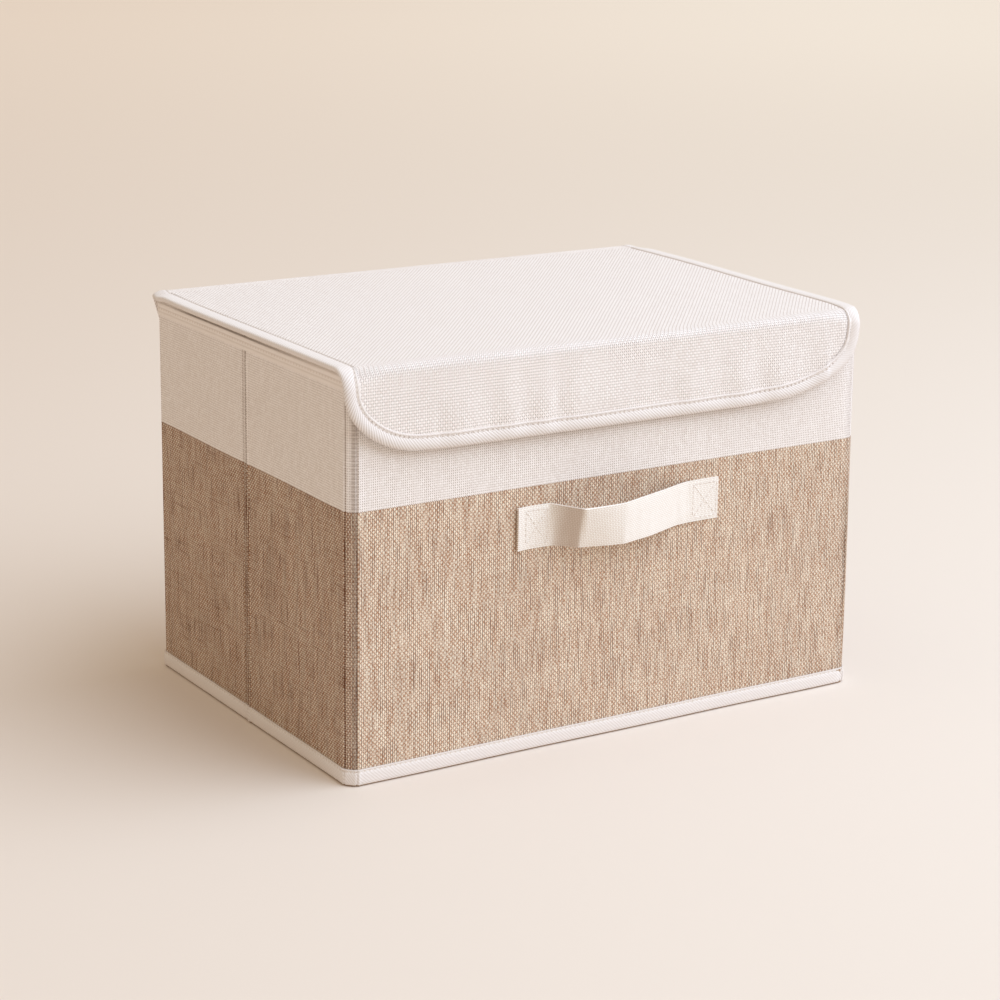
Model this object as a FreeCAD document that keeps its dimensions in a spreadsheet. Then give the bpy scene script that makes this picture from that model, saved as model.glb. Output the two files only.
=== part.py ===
import FreeCAD, Part
import math
import os

import Sketcher

# Lidded fabric storage box: a cloth sleeve over cardboard panels, with a stiffened lid on a cloth hinge.
# The origin is the middle of the underside. X runs along the front, Y to the back and Z up, in mm.

doc = FreeCAD.newDocument("storage_box")
sizes = doc.addObject("Spreadsheet::Sheet", "sizes")

driving_sizes = (
    ("box_width", 380),
    ("box_depth", 260),
    ("rim_height", 252),
    ("corner_radius", 9),
    ("colour_height", 170),
    ("cloth_thickness", 0.7),
    ("base_cloth_thickness", 0.5),
    ("lining_thickness", 0.4),
    ("tape_thickness", 0.5),
    ("tape_width", 10),
    ("layer_gap", 0.1),
    ("body_gap", 0.3),
    ("wall_board_thickness", 2.5),
    ("board_foot_height", 11.5),
    ("rim_margin", 11),
    ("corner_gap", 1),
    ("crease_gap", 3),
    ("crease_depth", 0.35),
    ("rim_bevel", 0.6),
    ("base_bevel", 0.5),
    ("base_edge_height", 9.5),
    ("base_tape_height", 0.8),
    ("base_board_thickness", 3),
    ("base_board_clearance", 1.5),
    ("lid_overhang", 6),
    ("lid_board_thickness", 2),
    ("lid_board_margin", 1),
    ("lid_roll_radius", 2),
    ("flap_standoff", 7),
    ("flap_drop", 53.8),
    ("flap_corner_radius", 47),
    ("front_fold_radius", 8.6),
    ("back_fold_radius", 4.5),
    ("fold_split_angle", 45),
    ("fold_gap_angle", 1.5),
    ("wave_count", 6),
    ("wave_height", 1.2),
    ("cutting_margin", 2),
    ("handle_length", 150),
    ("handle_height", 144.5),
    ("strap_width", 27),
    ("strap_thickness", 1.6),
    ("bow_start", 52),
    ("kink_offset", 40),
    ("crest_offset", 9),
    ("bow_top", 23.5),
    ("kink_low", 12.5),
    ("crest_low", 19.5),
    ("kink_radius", 3),
    ("crest_radius", 14),
    ("landing_radius", 20),
    ("loop_cut_left", 42),
    ("loop_cut_right", 25),
)
for row, (alias, value) in enumerate(driving_sizes, 1):
    sizes.set(f"A{row}", alias)
    sizes.set(f"B{row}", str(value))
    sizes.setAlias(f"B{row}", alias)
doc.recompute()

# Sizes that several pieces share, as expressions on the sheet. Insets are counted from the wall cloth's face.
BOARD_INSET = "(sizes.cloth_thickness + sizes.layer_gap)"
LINING_INSET = f"({BOARD_INSET} + sizes.wall_board_thickness + sizes.layer_gap)"
LINING_FACE = f"({LINING_INSET} + sizes.lining_thickness)"
RIM_SLOT_INSET = f"({LINING_FACE} + sizes.layer_gap)"
CLEAR_INSET = f"({RIM_SLOT_INSET} + sizes.tape_thickness)"
RIM_PROUD = "(sizes.layer_gap + sizes.tape_thickness)"
BASE_EDGE_PROUD = "(sizes.layer_gap + sizes.base_cloth_thickness)"
BASE_TAPE_PROUD = f"({BASE_EDGE_PROUD} + sizes.layer_gap + sizes.tape_thickness)"
BASE_LINING_TOP = "(sizes.base_cloth_thickness + sizes.layer_gap + sizes.lining_thickness)"
BOARD_TOP = "(sizes.rim_height - sizes.rim_margin)"
BASE_BOARD_BOTTOM = f"({BASE_LINING_TOP} + sizes.body_gap)"
BASE_BOARD_INSET = f"({CLEAR_INSET} + sizes.base_board_clearance)"
COVER_WALL = "(sizes.lining_thickness + sizes.layer_gap)"

LID_HALF = "(sizes.box_width / 2 + sizes.lid_overhang)"
LID_BOTTOM = "(sizes.rim_height + sizes.body_gap)"
TAPE_STEP = "(sizes.tape_thickness + sizes.layer_gap)"
LID_LINING_BOTTOM = f"({LID_BOTTOM} + {TAPE_STEP})"
LID_BOARD_BOTTOM = f"({LID_LINING_BOTTOM} + sizes.lining_thickness + sizes.layer_gap)"
LID_CLOTH_BOTTOM = f"({LID_BOARD_BOTTOM} + sizes.lid_board_thickness + sizes.layer_gap)"
LID_TOP = f"({LID_CLOTH_BOTTOM} + sizes.cloth_thickness + {TAPE_STEP})"
LID_THICKNESS = f"({LID_TOP} - {LID_BOTTOM})"

CLOTH_DEPTH = f"({TAPE_STEP} + sizes.cloth_thickness)"
FLAP_LINING_DEPTH = f"({CLOTH_DEPTH} + sizes.layer_gap)"
FLAP_SLOT_DEPTH = f"({FLAP_LINING_DEPTH} + sizes.lining_thickness + sizes.layer_gap)"
FLAP_THICKNESS = f"({FLAP_SLOT_DEPTH} + sizes.tape_thickness)"
FRONT_REACH = "(sizes.box_depth / 2 + sizes.flap_standoff)"
BACK_REACH = f"(sizes.box_depth / 2 + {RIM_PROUD} + sizes.layer_gap + {FLAP_THICKNESS})"
FRONT_FOLD_REACH = f"({FRONT_REACH} - sizes.front_fold_radius)"
FRONT_FOLD_HEIGHT = f"({LID_TOP} - sizes.front_fold_radius)"
BACK_FOLD_REACH = f"({BACK_REACH} - sizes.back_fold_radius)"
BACK_FOLD_HEIGHT = f"({LID_TOP} - sizes.back_fold_radius)"

# Lengths in mm: how far from a level an edge still counts as on it, and how fine the printed facets are.
LEVEL_TOLERANCE = 0.01
FACET_TOLERANCE = 0.1

pieces = {}


def number(expression):
    """The value that an expression on the sheet has now."""
    return float(sizes.evalExpression(expression))


def add_sketch(body, name, role, offsets):
    """A sketch on one of the body's origin planes, shifted by expressions on the sheet."""
    sketch = body.newObject("Sketcher::SketchObject", name)
    plane = [feature for feature in body.Origin.OriginFeatures if feature.Role == role][0]
    sketch.AttachmentSupport = [(plane, "")]
    sketch.MapMode = "FlatFace"
    for axis, expression in offsets.items():
        sketch.setExpression(f"AttachmentOffset.Base.{axis}", expression)
    return sketch


def draw(sketch, corners, arcs):
    """Closes an outline through corners. arcs maps a side to its radius and turn: 1 is anticlockwise."""
    spots = [FreeCAD.Vector(number(x), number(y), 0) for x, y in corners]
    count = len(spots)
    first = sketch.GeometryCount
    for side, start in enumerate(spots):
        end = spots[(side + 1) % count]
        if side not in arcs:
            sketch.addGeometry(Part.LineSegment(start, end))
            continue
        radius, turn = arcs[side]
        chord = end - start
        rise = math.sqrt(max(number(radius) ** 2 - chord.Length ** 2 / 4, 0))
        normal = FreeCAD.Vector(-chord.y, chord.x, 0).normalize()
        centre = (start + end) / 2 + normal * rise * turn
        begin, finish = (start, end) if turn > 0 else (end, start)
        angles = [math.atan2(spot.y - centre.y, spot.x - centre.x) for spot in (begin, finish)]
        circle = Part.Circle(centre, FreeCAD.Vector(0, 0, 1), number(radius))
        sketch.addGeometry(Part.ArcOfCircle(circle, angles[0], angles[1]))
    for side, (x, y) in enumerate(corners):
        geometry = first + side
        start_point = 2 if side in arcs and arcs[side][1] < 0 else 1
        previous = (side - 1) % count
        end_point = 1 if previous in arcs and arcs[previous][1] < 0 else 2
        link = Sketcher.Constraint("Coincident", first + previous, end_point, geometry, start_point)
        sketch.addConstraint(link)
        for kind, expression in (("DistanceX", x), ("DistanceY", y)):
            place = Sketcher.Constraint(kind, geometry, start_point, number(expression))
            sketch.setExpression(f"Constraints[{sketch.addConstraint(place)}]", expression)
    for side, (radius, turn) in arcs.items():
        bend = Sketcher.Constraint("Radius", first + side, number(radius))
        sketch.setExpression(f"Constraints[{sketch.addConstraint(bend)}]", radius)


def draw_rounded_rectangle(sketch, half_width, half_depth, radius):
    """A rectangle about the origin with four round corners."""
    straight_x = f"({half_width} - ({radius}))"
    straight_y = f"({half_depth} - ({radius}))"
    corners = (
        (half_width, f"-{straight_y}"),
        (half_width, straight_y),
        (straight_x, half_depth),
        (f"-{straight_x}", half_depth),
        (f"-({half_width})", straight_y),
        (f"-({half_width})", f"-{straight_y}"),
        (f"-{straight_x}", f"-({half_depth})"),
        (straight_x, f"-({half_depth})"),
    )
    draw(sketch, corners, {side: (radius, 1) for side in (1, 3, 5, 7)})


def draw_wall_outline(sketch, inset):
    """The box's outline seen from above, moved inwards by inset."""
    half_width = f"(sizes.box_width / 2 - ({inset}))"
    half_depth = f"(sizes.box_depth / 2 - ({inset}))"
    draw_rounded_rectangle(sketch, half_width, half_depth, f"(sizes.corner_radius - ({inset}))")


def add_feature(body, kind, name, sketch, length):
    """A pad or a pocket of the sketch with a bound length."""
    feature = body.newObject(f"PartDesign::{kind}", name)
    feature.Profile = sketch
    feature.setExpression("Length", length)
    sketch.Visibility = False
    return feature


def add_ring(label, outer_inset, inner_inset, bottom, height):
    """A body whose first pad is a band that follows the four walls."""
    body = doc.addObject("PartDesign::Body", label)
    sketch = add_sketch(body, f"{label}_outline", "XY_Plane", {"z": bottom})
    draw_wall_outline(sketch, outer_inset)
    draw_wall_outline(sketch, inner_inset)
    add_feature(body, "Pad", f"{label}_pad", sketch, height)
    return body


def add_slab(label, inset, bottom, height):
    """A flat rectangle with round corners that lies inside the walls."""
    body = doc.addObject("PartDesign::Body", label)
    sketch = add_sketch(body, f"{label}_outline", "XY_Plane", {"z": bottom})
    draw_wall_outline(sketch, inset)
    add_feature(body, "Pad", f"{label}_pad", sketch, height)
    return body


def add_box(label, low, high):
    """A plain sheet between two corners, which are given as expressions."""
    box = doc.addObject("Part::Box", label)
    for side, axis, start, end in zip(("Length", "Width", "Height"), "xyz", low, high):
        box.setExpression(side, f"{end} - ({start})")
        box.setExpression(f"Placement.Base.{axis}", start)
    return box


def add_boolean(kind, label, base, tool):
    """A cut, a common part or a fuse of two objects."""
    result = doc.addObject(f"Part::{kind}", label)
    result.Base = base
    result.Tool = tool
    return result


def bevel_level(body, name, size, height):
    """Chamfers every edge of the body that lies flat at one height."""
    doc.recompute()
    edges = []
    for index, edge in enumerate(body.Shape.Edges, 1):
        if all(abs(vertex.Z - height) < LEVEL_TOLERANCE for vertex in edge.Vertexes):
            edges.append(f"Edge{index}")
    solid = body.Tip
    bevel = body.newObject("PartDesign::Chamfer", name)
    bevel.Base = (solid, edges)
    bevel.setExpression("Size", size)


# Wall boards: greyboard panels that end short of the sleeve's corners, so that the cloth can bend there. The
# side walls have two each, so that they fold at mid depth.
def add_wall_boards():
    half_width = "sizes.box_width / 2"
    half_depth = "sizes.box_depth / 2"
    end_x = f"({half_width} - sizes.corner_radius - sizes.corner_gap)"
    end_y = f"({half_depth} - sizes.corner_radius - sizes.corner_gap)"
    near = BOARD_INSET
    far = f"({BOARD_INSET} + sizes.wall_board_thickness)"
    foot = "sizes.board_foot_height"
    fold = "sizes.crease_gap / 2"
    spans = {
        "front_board": ((f"-{end_x}", f"-{half_depth} + {near}"), (end_x, f"-{half_depth} + {far}")),
        "back_board": ((f"-{end_x}", f"{half_depth} - {far}"), (end_x, f"{half_depth} - {near}")),
    }
    for side, low_x, high_x in (
        ("left", f"-{half_width} + {near}", f"-{half_width} + {far}"),
        ("right", f"{half_width} - {far}", f"{half_width} - {near}"),
    ):
        spans[f"{side}_front_board"] = ((low_x, f"-{end_y}"), (high_x, f"-{fold}"))
        spans[f"{side}_rear_board"] = ((low_x, fold), (high_x, end_y))
    for label, (low, high) in spans.items():
        pieces[label] = add_box(label, (*low, foot), (*high, BOARD_TOP))


# Outer cloth: a cream cloth above and a linen cloth below, joined edge to edge. A crease runs down each side.
def add_outer_cloth():
    foot = "(sizes.base_cloth_thickness + sizes.layer_gap)"
    head = f"(sizes.rim_height - {TAPE_STEP})"
    spans = {
        "upper_cloth": ("sizes.colour_height", head),
        "lower_cloth": (foot, "sizes.colour_height"),
    }
    for label, (bottom, top) in spans.items():
        body = add_ring(label, "0", "sizes.cloth_thickness", bottom, f"{top} - {bottom}")
        sketch = add_sketch(body, f"{label}_crease", "XY_Plane", {"z": top})
        wall = "(sizes.box_width / 2)"
        depth = "sizes.crease_depth"
        draw(sketch, ((wall, f"-{depth}"), (wall, depth), (f"{wall} - {depth}", "0")), {})
        draw(sketch, ((f"-{wall}", depth), (f"-{wall}", f"-{depth}"), (f"-{wall} + {depth}", "0")), {})
        add_feature(body, "Pocket", f"{label}_crease_cut", sketch, f"{top} - {bottom}")
        pieces[label] = body


# Lining: thin non-woven cloth inside the walls. Its top is turned over into a hem that fills the rim.
def add_linings():
    foot = f"({BASE_LINING_TOP} + sizes.layer_gap)"
    head = f"(sizes.rim_height - {TAPE_STEP})"
    body = add_ring("wall_lining", LINING_INSET, LINING_FACE, foot, f"{head} - {foot}")
    hem_foot = f"({BOARD_TOP} + sizes.layer_gap)"
    sketch = add_sketch(body, "wall_lining_hem_outline", "XY_Plane", {"z": hem_foot})
    draw_wall_outline(sketch, BOARD_INSET)
    draw_wall_outline(sketch, LINING_FACE)
    add_feature(body, "Pad", "wall_lining_hem", sketch, f"{head} - {hem_foot}")
    pieces["wall_lining"] = body
    bottom = "(sizes.base_cloth_thickness + sizes.layer_gap)"
    pieces["base_lining"] = add_slab("base_lining", BOARD_INSET, bottom, "sizes.lining_thickness")


# Rim binding: tape folded over the top edge of the walls, with its fold eased.
def add_rim_binding():
    foot = "(sizes.rim_height - sizes.tape_width)"
    body = add_ring("rim_binding", f"-{RIM_PROUD}", CLEAR_INSET, foot, "sizes.tape_width")
    slot = add_sketch(body, "rim_slot_outline", "XY_Plane", {"z": foot})
    draw_wall_outline(slot, "-sizes.layer_gap")
    draw_wall_outline(slot, RIM_SLOT_INSET)
    depth = "sizes.tape_width - sizes.tape_thickness"
    pocket = add_feature(body, "Pocket", "rim_slot", slot, depth)
    pocket.Reversed = True
    bevel_level(body, "rim_fold", "sizes.rim_bevel", number("sizes.rim_height"))
    pieces["rim_binding"] = body


# Base: a bottom cloth turned up outside the walls, with a tape over its edge. The box stands on the cloth.
def add_base():
    body = add_slab("base_cloth", f"-{BASE_EDGE_PROUD}", "0", "sizes.base_edge_height")
    hollow = add_sketch(body, "base_hollow_outline", "XY_Plane", {"z": "sizes.base_edge_height"})
    draw_wall_outline(hollow, "-sizes.layer_gap")
    depth = "sizes.base_edge_height - sizes.base_cloth_thickness"
    add_feature(body, "Pocket", "base_hollow", hollow, depth)
    bevel_level(body, "base_fold", "sizes.base_bevel", 0)
    pieces["base_cloth"] = body
    inner = f"-({BASE_EDGE_PROUD} + sizes.layer_gap)"
    foot = "sizes.base_tape_height"
    outer = f"-{BASE_TAPE_PROUD}"
    pieces["base_binding"] = add_ring("base_binding", outer, inner, foot, "sizes.tape_width")


# Base board: a loose board in a sewn cover, which stiffens the floor of the box and lifts out.
def add_base_board():
    height = f"(sizes.base_board_thickness + 2 * {COVER_WALL})"
    blank = add_slab("cover_blank", BASE_BOARD_INSET, BASE_BOARD_BOTTOM, height)
    inside = f"({BASE_BOARD_INSET} + sizes.lining_thickness)"
    cavity_bottom = f"({BASE_BOARD_BOTTOM} + sizes.lining_thickness)"
    cavity_height = "(sizes.base_board_thickness + 2 * sizes.layer_gap)"
    cavity = add_slab("cover_cavity", inside, cavity_bottom, cavity_height)
    pieces["base_board_cover"] = add_boolean("Cut", "base_board_cover", blank, cavity)
    core_inset = f"({BASE_BOARD_INSET} + {COVER_WALL})"
    core_bottom = f"({BASE_BOARD_BOTTOM} + {COVER_WALL})"
    core = add_slab("base_board_core", core_inset, core_bottom, "sizes.base_board_thickness")
    pieces["base_board_core"] = core


# Lid: a board between a top cloth and a lining. The top cloth rolls over the front and back edges.
def add_lid():
    cloth_half = f"({LID_HALF} - sizes.lid_roll_radius)"
    board_half = f"({LID_HALF} - sizes.tape_width - sizes.lid_board_margin)"
    front = f"-{FRONT_FOLD_REACH}"
    board_low = (f"-{board_half}", f"{front} + sizes.lid_board_margin", LID_BOARD_BOTTOM)
    board_top = f"{LID_BOARD_BOTTOM} + sizes.lid_board_thickness"
    board_high = (board_half, f"{BACK_FOLD_REACH} - sizes.lid_board_margin", board_top)
    pieces["lid_board"] = add_box("lid_board", board_low, board_high)
    lining_low = (f"-{cloth_half}", front, LID_LINING_BOTTOM)
    lining_high = (cloth_half, BACK_FOLD_REACH, f"{LID_LINING_BOTTOM} + sizes.lining_thickness")
    pieces["lid_lining"] = add_box("lid_lining", lining_low, lining_high)

    body = doc.addObject("PartDesign::Body", "lid_cloth")
    sketch = add_sketch(body, "lid_cloth_section", "YZ_Plane", {})
    sweep = "((sizes.fold_split_angle - sizes.fold_gap_angle) * 1 deg)"
    corners = []
    radii = []
    for reach, height, radius, side in (
        (BACK_FOLD_REACH, BACK_FOLD_HEIGHT, "sizes.back_fold_radius", ""),
        (FRONT_FOLD_REACH, FRONT_FOLD_HEIGHT, "sizes.front_fold_radius", "-"),
    ):
        outer = f"({radius} - {TAPE_STEP})"
        inner = f"({radius} - {CLOTH_DEPTH})"
        radii.append((outer, inner))
        for face in (outer, inner):
            level = (f"{side}{reach}", f"{height} + {face}")
            tip = (f"{side}({reach} + {face} * sin({sweep}))", f"{height} + {face} * cos({sweep})")
            corners.append((level, tip))
    (back_outer, back_inner, front_outer, front_inner) = corners
    outline = (back_outer[1], back_outer[0], front_outer[0], front_outer[1])
    outline += (front_inner[1], front_inner[0], back_inner[0], back_inner[1])
    (back_radii, front_radii) = radii
    arcs = {0: (back_radii[0], 1), 2: (front_radii[0], 1), 4: (front_radii[1], -1), 6: (back_radii[1], -1)}
    draw(sketch, outline, arcs)
    pad = add_feature(body, "Pad", "lid_cloth_pad", sketch, f"2 * {cloth_half}")
    pad.SideType = "Symmetric"
    pieces["lid_cloth"] = body


# Lid binding: tape folded round the lid's two side edges, which follows the first half of the front fold.
def add_lid_binding(label, side):
    edge = LID_HALF
    inner = f"({LID_HALF} - sizes.tape_width)"
    roll = "sizes.lid_roll_radius"
    bend = f"({edge} - {roll})"
    tape = "sizes.tape_thickness"
    top = "sizes.front_fold_radius"
    bottom = f"(sizes.front_fold_radius - {LID_THICKNESS})"
    right_section = (
        (inner, bottom),
        (bend, bottom),
        (edge, f"{bottom} + {roll}"),
        (edge, f"{top} - {roll}"),
        (bend, top),
        (inner, top),
        (inner, f"{top} - {tape}"),
        (bend, f"{top} - {tape}"),
        (f"{edge} - {tape}", f"{top} - {roll}"),
        (f"{edge} - {tape}", f"{bottom} + {roll}"),
        (bend, f"{bottom} + {tape}"),
        (inner, f"{bottom} + {tape}"),
    )
    inner_roll = f"({roll} - {tape})"
    turn = 1 if side > 0 else -1
    section = right_section if side > 0 else tuple((f"-({x})", y) for x, y in right_section)
    arcs = {1: (roll, turn), 3: (roll, turn), 7: (inner_roll, -turn), 9: (inner_roll, -turn)}
    body = doc.addObject("PartDesign::Body", label)
    place = {"y": FRONT_FOLD_HEIGHT, "z": FRONT_FOLD_REACH}
    sketch = add_sketch(body, f"{label}_section", "XZ_Plane", place)
    draw(sketch, section, arcs)
    pad = add_feature(body, "Pad", f"{label}_pad", sketch, f"{FRONT_FOLD_REACH} + {BACK_FOLD_REACH}")
    pad.Reversed = True
    fold = body.newObject("PartDesign::Revolution", f"{label}_fold")
    fold.Profile = sketch
    fold.ReferenceAxis = (sketch, ["H_Axis"])
    fold.setExpression("Angle", "sizes.fold_split_angle - sizes.fold_gap_angle")
    pieces[label] = body


# Flap outline: the lid's end seen from the front, with two round lower corners. Each layer is cut to one.
def add_flap_outline(label, inset):
    half = f"({LID_HALF} - ({inset}))"
    radius = f"(sizes.flap_corner_radius - ({inset}))"
    bottom = f"({LID_TOP} - sizes.flap_drop + {inset})"
    top = f"({LID_TOP} + sizes.cutting_margin)"
    corners = (
        (half, f"{bottom} + {radius}"),
        (half, top),
        (f"-{half}", top),
        (f"-{half}", f"{bottom} + {radius}"),
        (f"-{half} + {radius}", bottom),
        (f"{half} - {radius}", bottom),
    )
    body = doc.addObject("PartDesign::Body", label)
    sketch = add_sketch(body, f"{label}_sketch", "XZ_Plane", {})
    draw(sketch, corners, {3: (radius, 1), 5: (radius, 1)})
    length = "sizes.box_depth + 4 * sizes.flap_standoff"
    pad = add_feature(body, "Pad", f"{label}_pad", sketch, length)
    pad.SideType = "Symmetric"
    return body


def wave_wire(reach, depth, height, wave_height, side):
    """A closed band seen from above: two wavy or straight faces and two short ends."""
    half = number(LID_HALF) + number("sizes.cutting_margin")
    count = round(number("sizes.wave_count"))
    step = 2 * half / count
    edges = []
    for distance in (reach, reach - depth):
        row = []
        for wave in range(count):
            start, middle, end = (-half + step * (wave + part) for part in (0, 0.5, 1))
            spots = [FreeCAD.Vector(x, side * distance, height) for x in (start, middle, end)]
            if wave_height:
                spots[1].y += side * wave_height * (-1) ** wave
                row.append(Part.Arc(*spots).toShape())
            else:
                row.append(Part.LineSegment(spots[0], spots[2]).toShape())
        edges.append(row)
    outer, inner = edges
    caps = [
        Part.LineSegment(outer[end].Vertexes[end].Point, inner[end].Vertexes[end].Point).toShape()
        for end in (0, -1)
    ]
    return Part.Wire(outer + [caps[1]] + inner[::-1] + [caps[0]])


def hanging_sheet(label, layer, reach, fold_radius, wave_height, side):
    """One layer of a flap: the lower half of the fold, and below it a sheet whose waves grow to its hem."""
    outer_depth, inner_depth = (number(depth) for depth in layer)
    radius = number(fold_radius)
    centre_y = side * (number(reach) - radius)
    centre_z = number(LID_TOP) - radius
    sweep = math.radians(number("sizes.fold_split_angle - sizes.fold_gap_angle"))
    half = number(LID_HALF) + number("sizes.cutting_margin")

    def spot(distance, angle):
        out = side * distance * math.cos(angle)
        return FreeCAD.Vector(-half, centre_y + out, centre_z + distance * math.sin(angle))

    outer = radius - outer_depth
    inner = radius - inner_depth
    fold_edges = [
        Part.Arc(spot(outer, 0), spot(outer, sweep / 2), spot(outer, sweep)).toShape(),
        Part.LineSegment(spot(outer, sweep), spot(inner, sweep)).toShape(),
        Part.Arc(spot(inner, sweep), spot(inner, sweep / 2), spot(inner, 0)).toShape(),
        Part.LineSegment(spot(inner, 0), spot(outer, 0)).toShape(),
    ]
    fold = Part.Face(Part.Wire(fold_edges)).extrude(FreeCAD.Vector(2 * half, 0, 0))
    hem = number(f"{LID_TOP} - sizes.flap_drop - sizes.cutting_margin")
    thickness = inner_depth - outer_depth
    face = number(reach) - outer_depth
    top_wire = wave_wire(face, thickness, centre_z, 0, side)
    hem_wire = wave_wire(face, thickness, hem, wave_height, side)
    drop = Part.makeLoft([top_wire, hem_wire], True, True)
    sheet = doc.addObject("Part::Feature", label)
    sheet.Shape = fold.fuse(drop).removeSplitter()
    return sheet


# Flaps: the lid's cloth and lining run on past its front and back edges, bound all round by one tape.
# The front flap hangs free in soft waves. The back flap is sewn to the back wall and is the lid's hinge.
def add_flap(prefix, reach, fold_radius, wave_height, side, outlines):
    cloth = (TAPE_STEP, CLOTH_DEPTH)
    lining = (FLAP_LINING_DEPTH, f"{FLAP_LINING_DEPTH} + sizes.lining_thickness")
    slot = ("sizes.tape_thickness", FLAP_SLOT_DEPTH)
    tape = ("0", FLAP_THICKNESS)
    for name, layer in (("cloth", cloth), ("lining", lining)):
        sheet = hanging_sheet(f"{prefix}_{name}_sheet", layer, reach, fold_radius, wave_height, side)
        label = f"{prefix}_{name}"
        pieces[label] = add_boolean("Common", label, sheet, outlines["cloth"])
    tape_sheet = hanging_sheet(f"{prefix}_tape_sheet", tape, reach, fold_radius, wave_height, side)
    slot_sheet = hanging_sheet(f"{prefix}_slot_sheet", slot, reach, fold_radius, wave_height, side)
    blank = add_boolean("Common", f"{prefix}_tape_blank", tape_sheet, outlines["tape"])
    frame = add_boolean("Cut", f"{prefix}_tape_frame", blank, outlines["window"])
    room = add_boolean("Common", f"{prefix}_tape_room", slot_sheet, outlines["slot"])
    label = f"{prefix}_binding"
    pieces[label] = add_boolean("Cut", label, frame, room)


# Handle: one cloth strap with both ends sewn flat to the front wall. Slack between them bows out in a loop.
def strap_edges(path, radii, offset):
    """Runs along path, moved to its left by offset: mitred at the first corner, with arcs at the others."""
    vectors = [FreeCAD.Vector(x, y, 0) for x, y in path]
    runs = [(after - before).normalize() for before, after in zip(vectors, vectors[1:])]
    normals = [FreeCAD.Vector(-run.y, run.x, 0) for run in runs]
    first = vectors[0] + normals[0] * offset
    mitre = (normals[0] + normals[1]) / (1 + normals[0].dot(normals[1]))
    reached = vectors[1] + mitre * offset
    edges = [Part.LineSegment(first, reached).toShape()]
    for k, radius in enumerate(radii, 1):
        corner = vectors[k + 1]
        turn = math.copysign(1, runs[k].cross(runs[k + 1]).z)
        length = radius * math.tan(runs[k].getAngle(runs[k + 1]) / 2)
        centre = corner - runs[k] * length + normals[k] * radius * turn
        start = corner - runs[k] * length + normals[k] * offset
        middle = centre + (corner - centre).normalize() * (radius - turn * offset)
        end = corner + runs[k + 1] * length + normals[k + 1] * offset
        edges.append(Part.LineSegment(reached, start).toShape())
        edges.append(Part.Arc(start, middle, end).toShape())
        reached = end
    last = vectors[-1] + normals[-1] * offset
    edges.append(Part.LineSegment(reached, last).toShape())
    return edges, first, last


def strap_wire(kink, crest, height):
    """The strap's band seen from above at one height, with its bow given by two distances from the wall."""
    half_thickness = number("sizes.strap_thickness / 2")
    wall = -number("sizes.box_depth / 2 + sizes.layer_gap") - half_thickness
    end = number("sizes.handle_length / 2")
    start = number("sizes.bow_start")
    path = (
        (-end, wall),
        (-start, wall),
        (-number("sizes.kink_offset"), wall - kink),
        (-number("sizes.crest_offset"), wall - crest),
        (start, wall),
        (end, wall),
    )
    names = ("kink_radius", "crest_radius", "landing_radius")
    radii = [number(f"sizes.{name}") for name in names]
    outer, outer_start, outer_end = strap_edges(path, radii, -half_thickness)
    inner, inner_start, inner_end = strap_edges(path, radii, half_thickness)
    caps = [
        Part.LineSegment(outer_end, inner_end).toShape(),
        Part.LineSegment(inner_start, outer_start).toShape(),
    ]
    wire = Part.Wire(outer + [caps[0]] + inner[::-1] + [caps[1]])
    wire.translate(FreeCAD.Vector(0, 0, height))
    return wire


def add_handle():
    low = number("sizes.handle_height - sizes.strap_width / 2")
    high = number("sizes.handle_height + sizes.strap_width / 2")
    low_wire = strap_wire(number("sizes.kink_low"), number("sizes.crest_low"), low)
    high_wire = strap_wire(number("sizes.bow_top"), number("sizes.bow_top"), high)
    strap = doc.addObject("Part::Feature", "handle_strap")
    strap.Shape = Part.makeLoft([low_wire, high_wire], True, True)
    left_cut = "-sizes.loop_cut_left"
    right_cut = "sizes.loop_cut_right"
    end = "(sizes.handle_length / 2 + sizes.cutting_margin)"
    gap = "sizes.layer_gap"
    spans = {
        "handle_left_end": (f"-{end}", f"{left_cut} - {gap}"),
        "handle_loop": (f"{left_cut} + {gap}", f"{right_cut} - {gap}"),
        "handle_right_end": (f"{right_cut} + {gap}", end),
    }
    for label, (start, stop) in spans.items():
        bottom = "sizes.handle_height - sizes.strap_width"
        block = add_box(
            f"{label}_block",
            (start, "-sizes.box_depth", bottom),
            (stop, "-sizes.box_depth / 2", "sizes.handle_height + sizes.strap_width"),
        )
        pieces[label] = add_boolean("Common", label, strap, block)


add_wall_boards()
add_outer_cloth()
add_linings()
add_rim_binding()
add_base()
add_base_board()
add_lid()
add_lid_binding("lid_binding_left", -1)
add_lid_binding("lid_binding_right", 1)
flap_outlines = {
    "tape": add_flap_outline("tape_outline", "0"),
    "slot": add_flap_outline("slot_outline", "sizes.tape_thickness"),
    "cloth": add_flap_outline("cloth_outline", TAPE_STEP),
    "window": add_flap_outline("window_outline", "sizes.tape_width"),
}
front_waves = number("sizes.wave_height")
add_flap("front_flap", FRONT_REACH, "sizes.front_fold_radius", front_waves, -1, flap_outlines)
add_flap("back_flap", BACK_REACH, "sizes.back_fold_radius", 0, 1, flap_outlines)
add_handle()
doc.recompute()

for item in doc.Objects:
    if "Invalid" in item.State or "Error" in item.State:
        raise RuntimeError(f"{item.Label} failed: {item.State}")
for label, piece in pieces.items():
    shape = piece.Shape
    if shape.isNull() or not shape.isValid() or not shape.Solids:
        raise RuntimeError(f"{label} has no valid solid")

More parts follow.
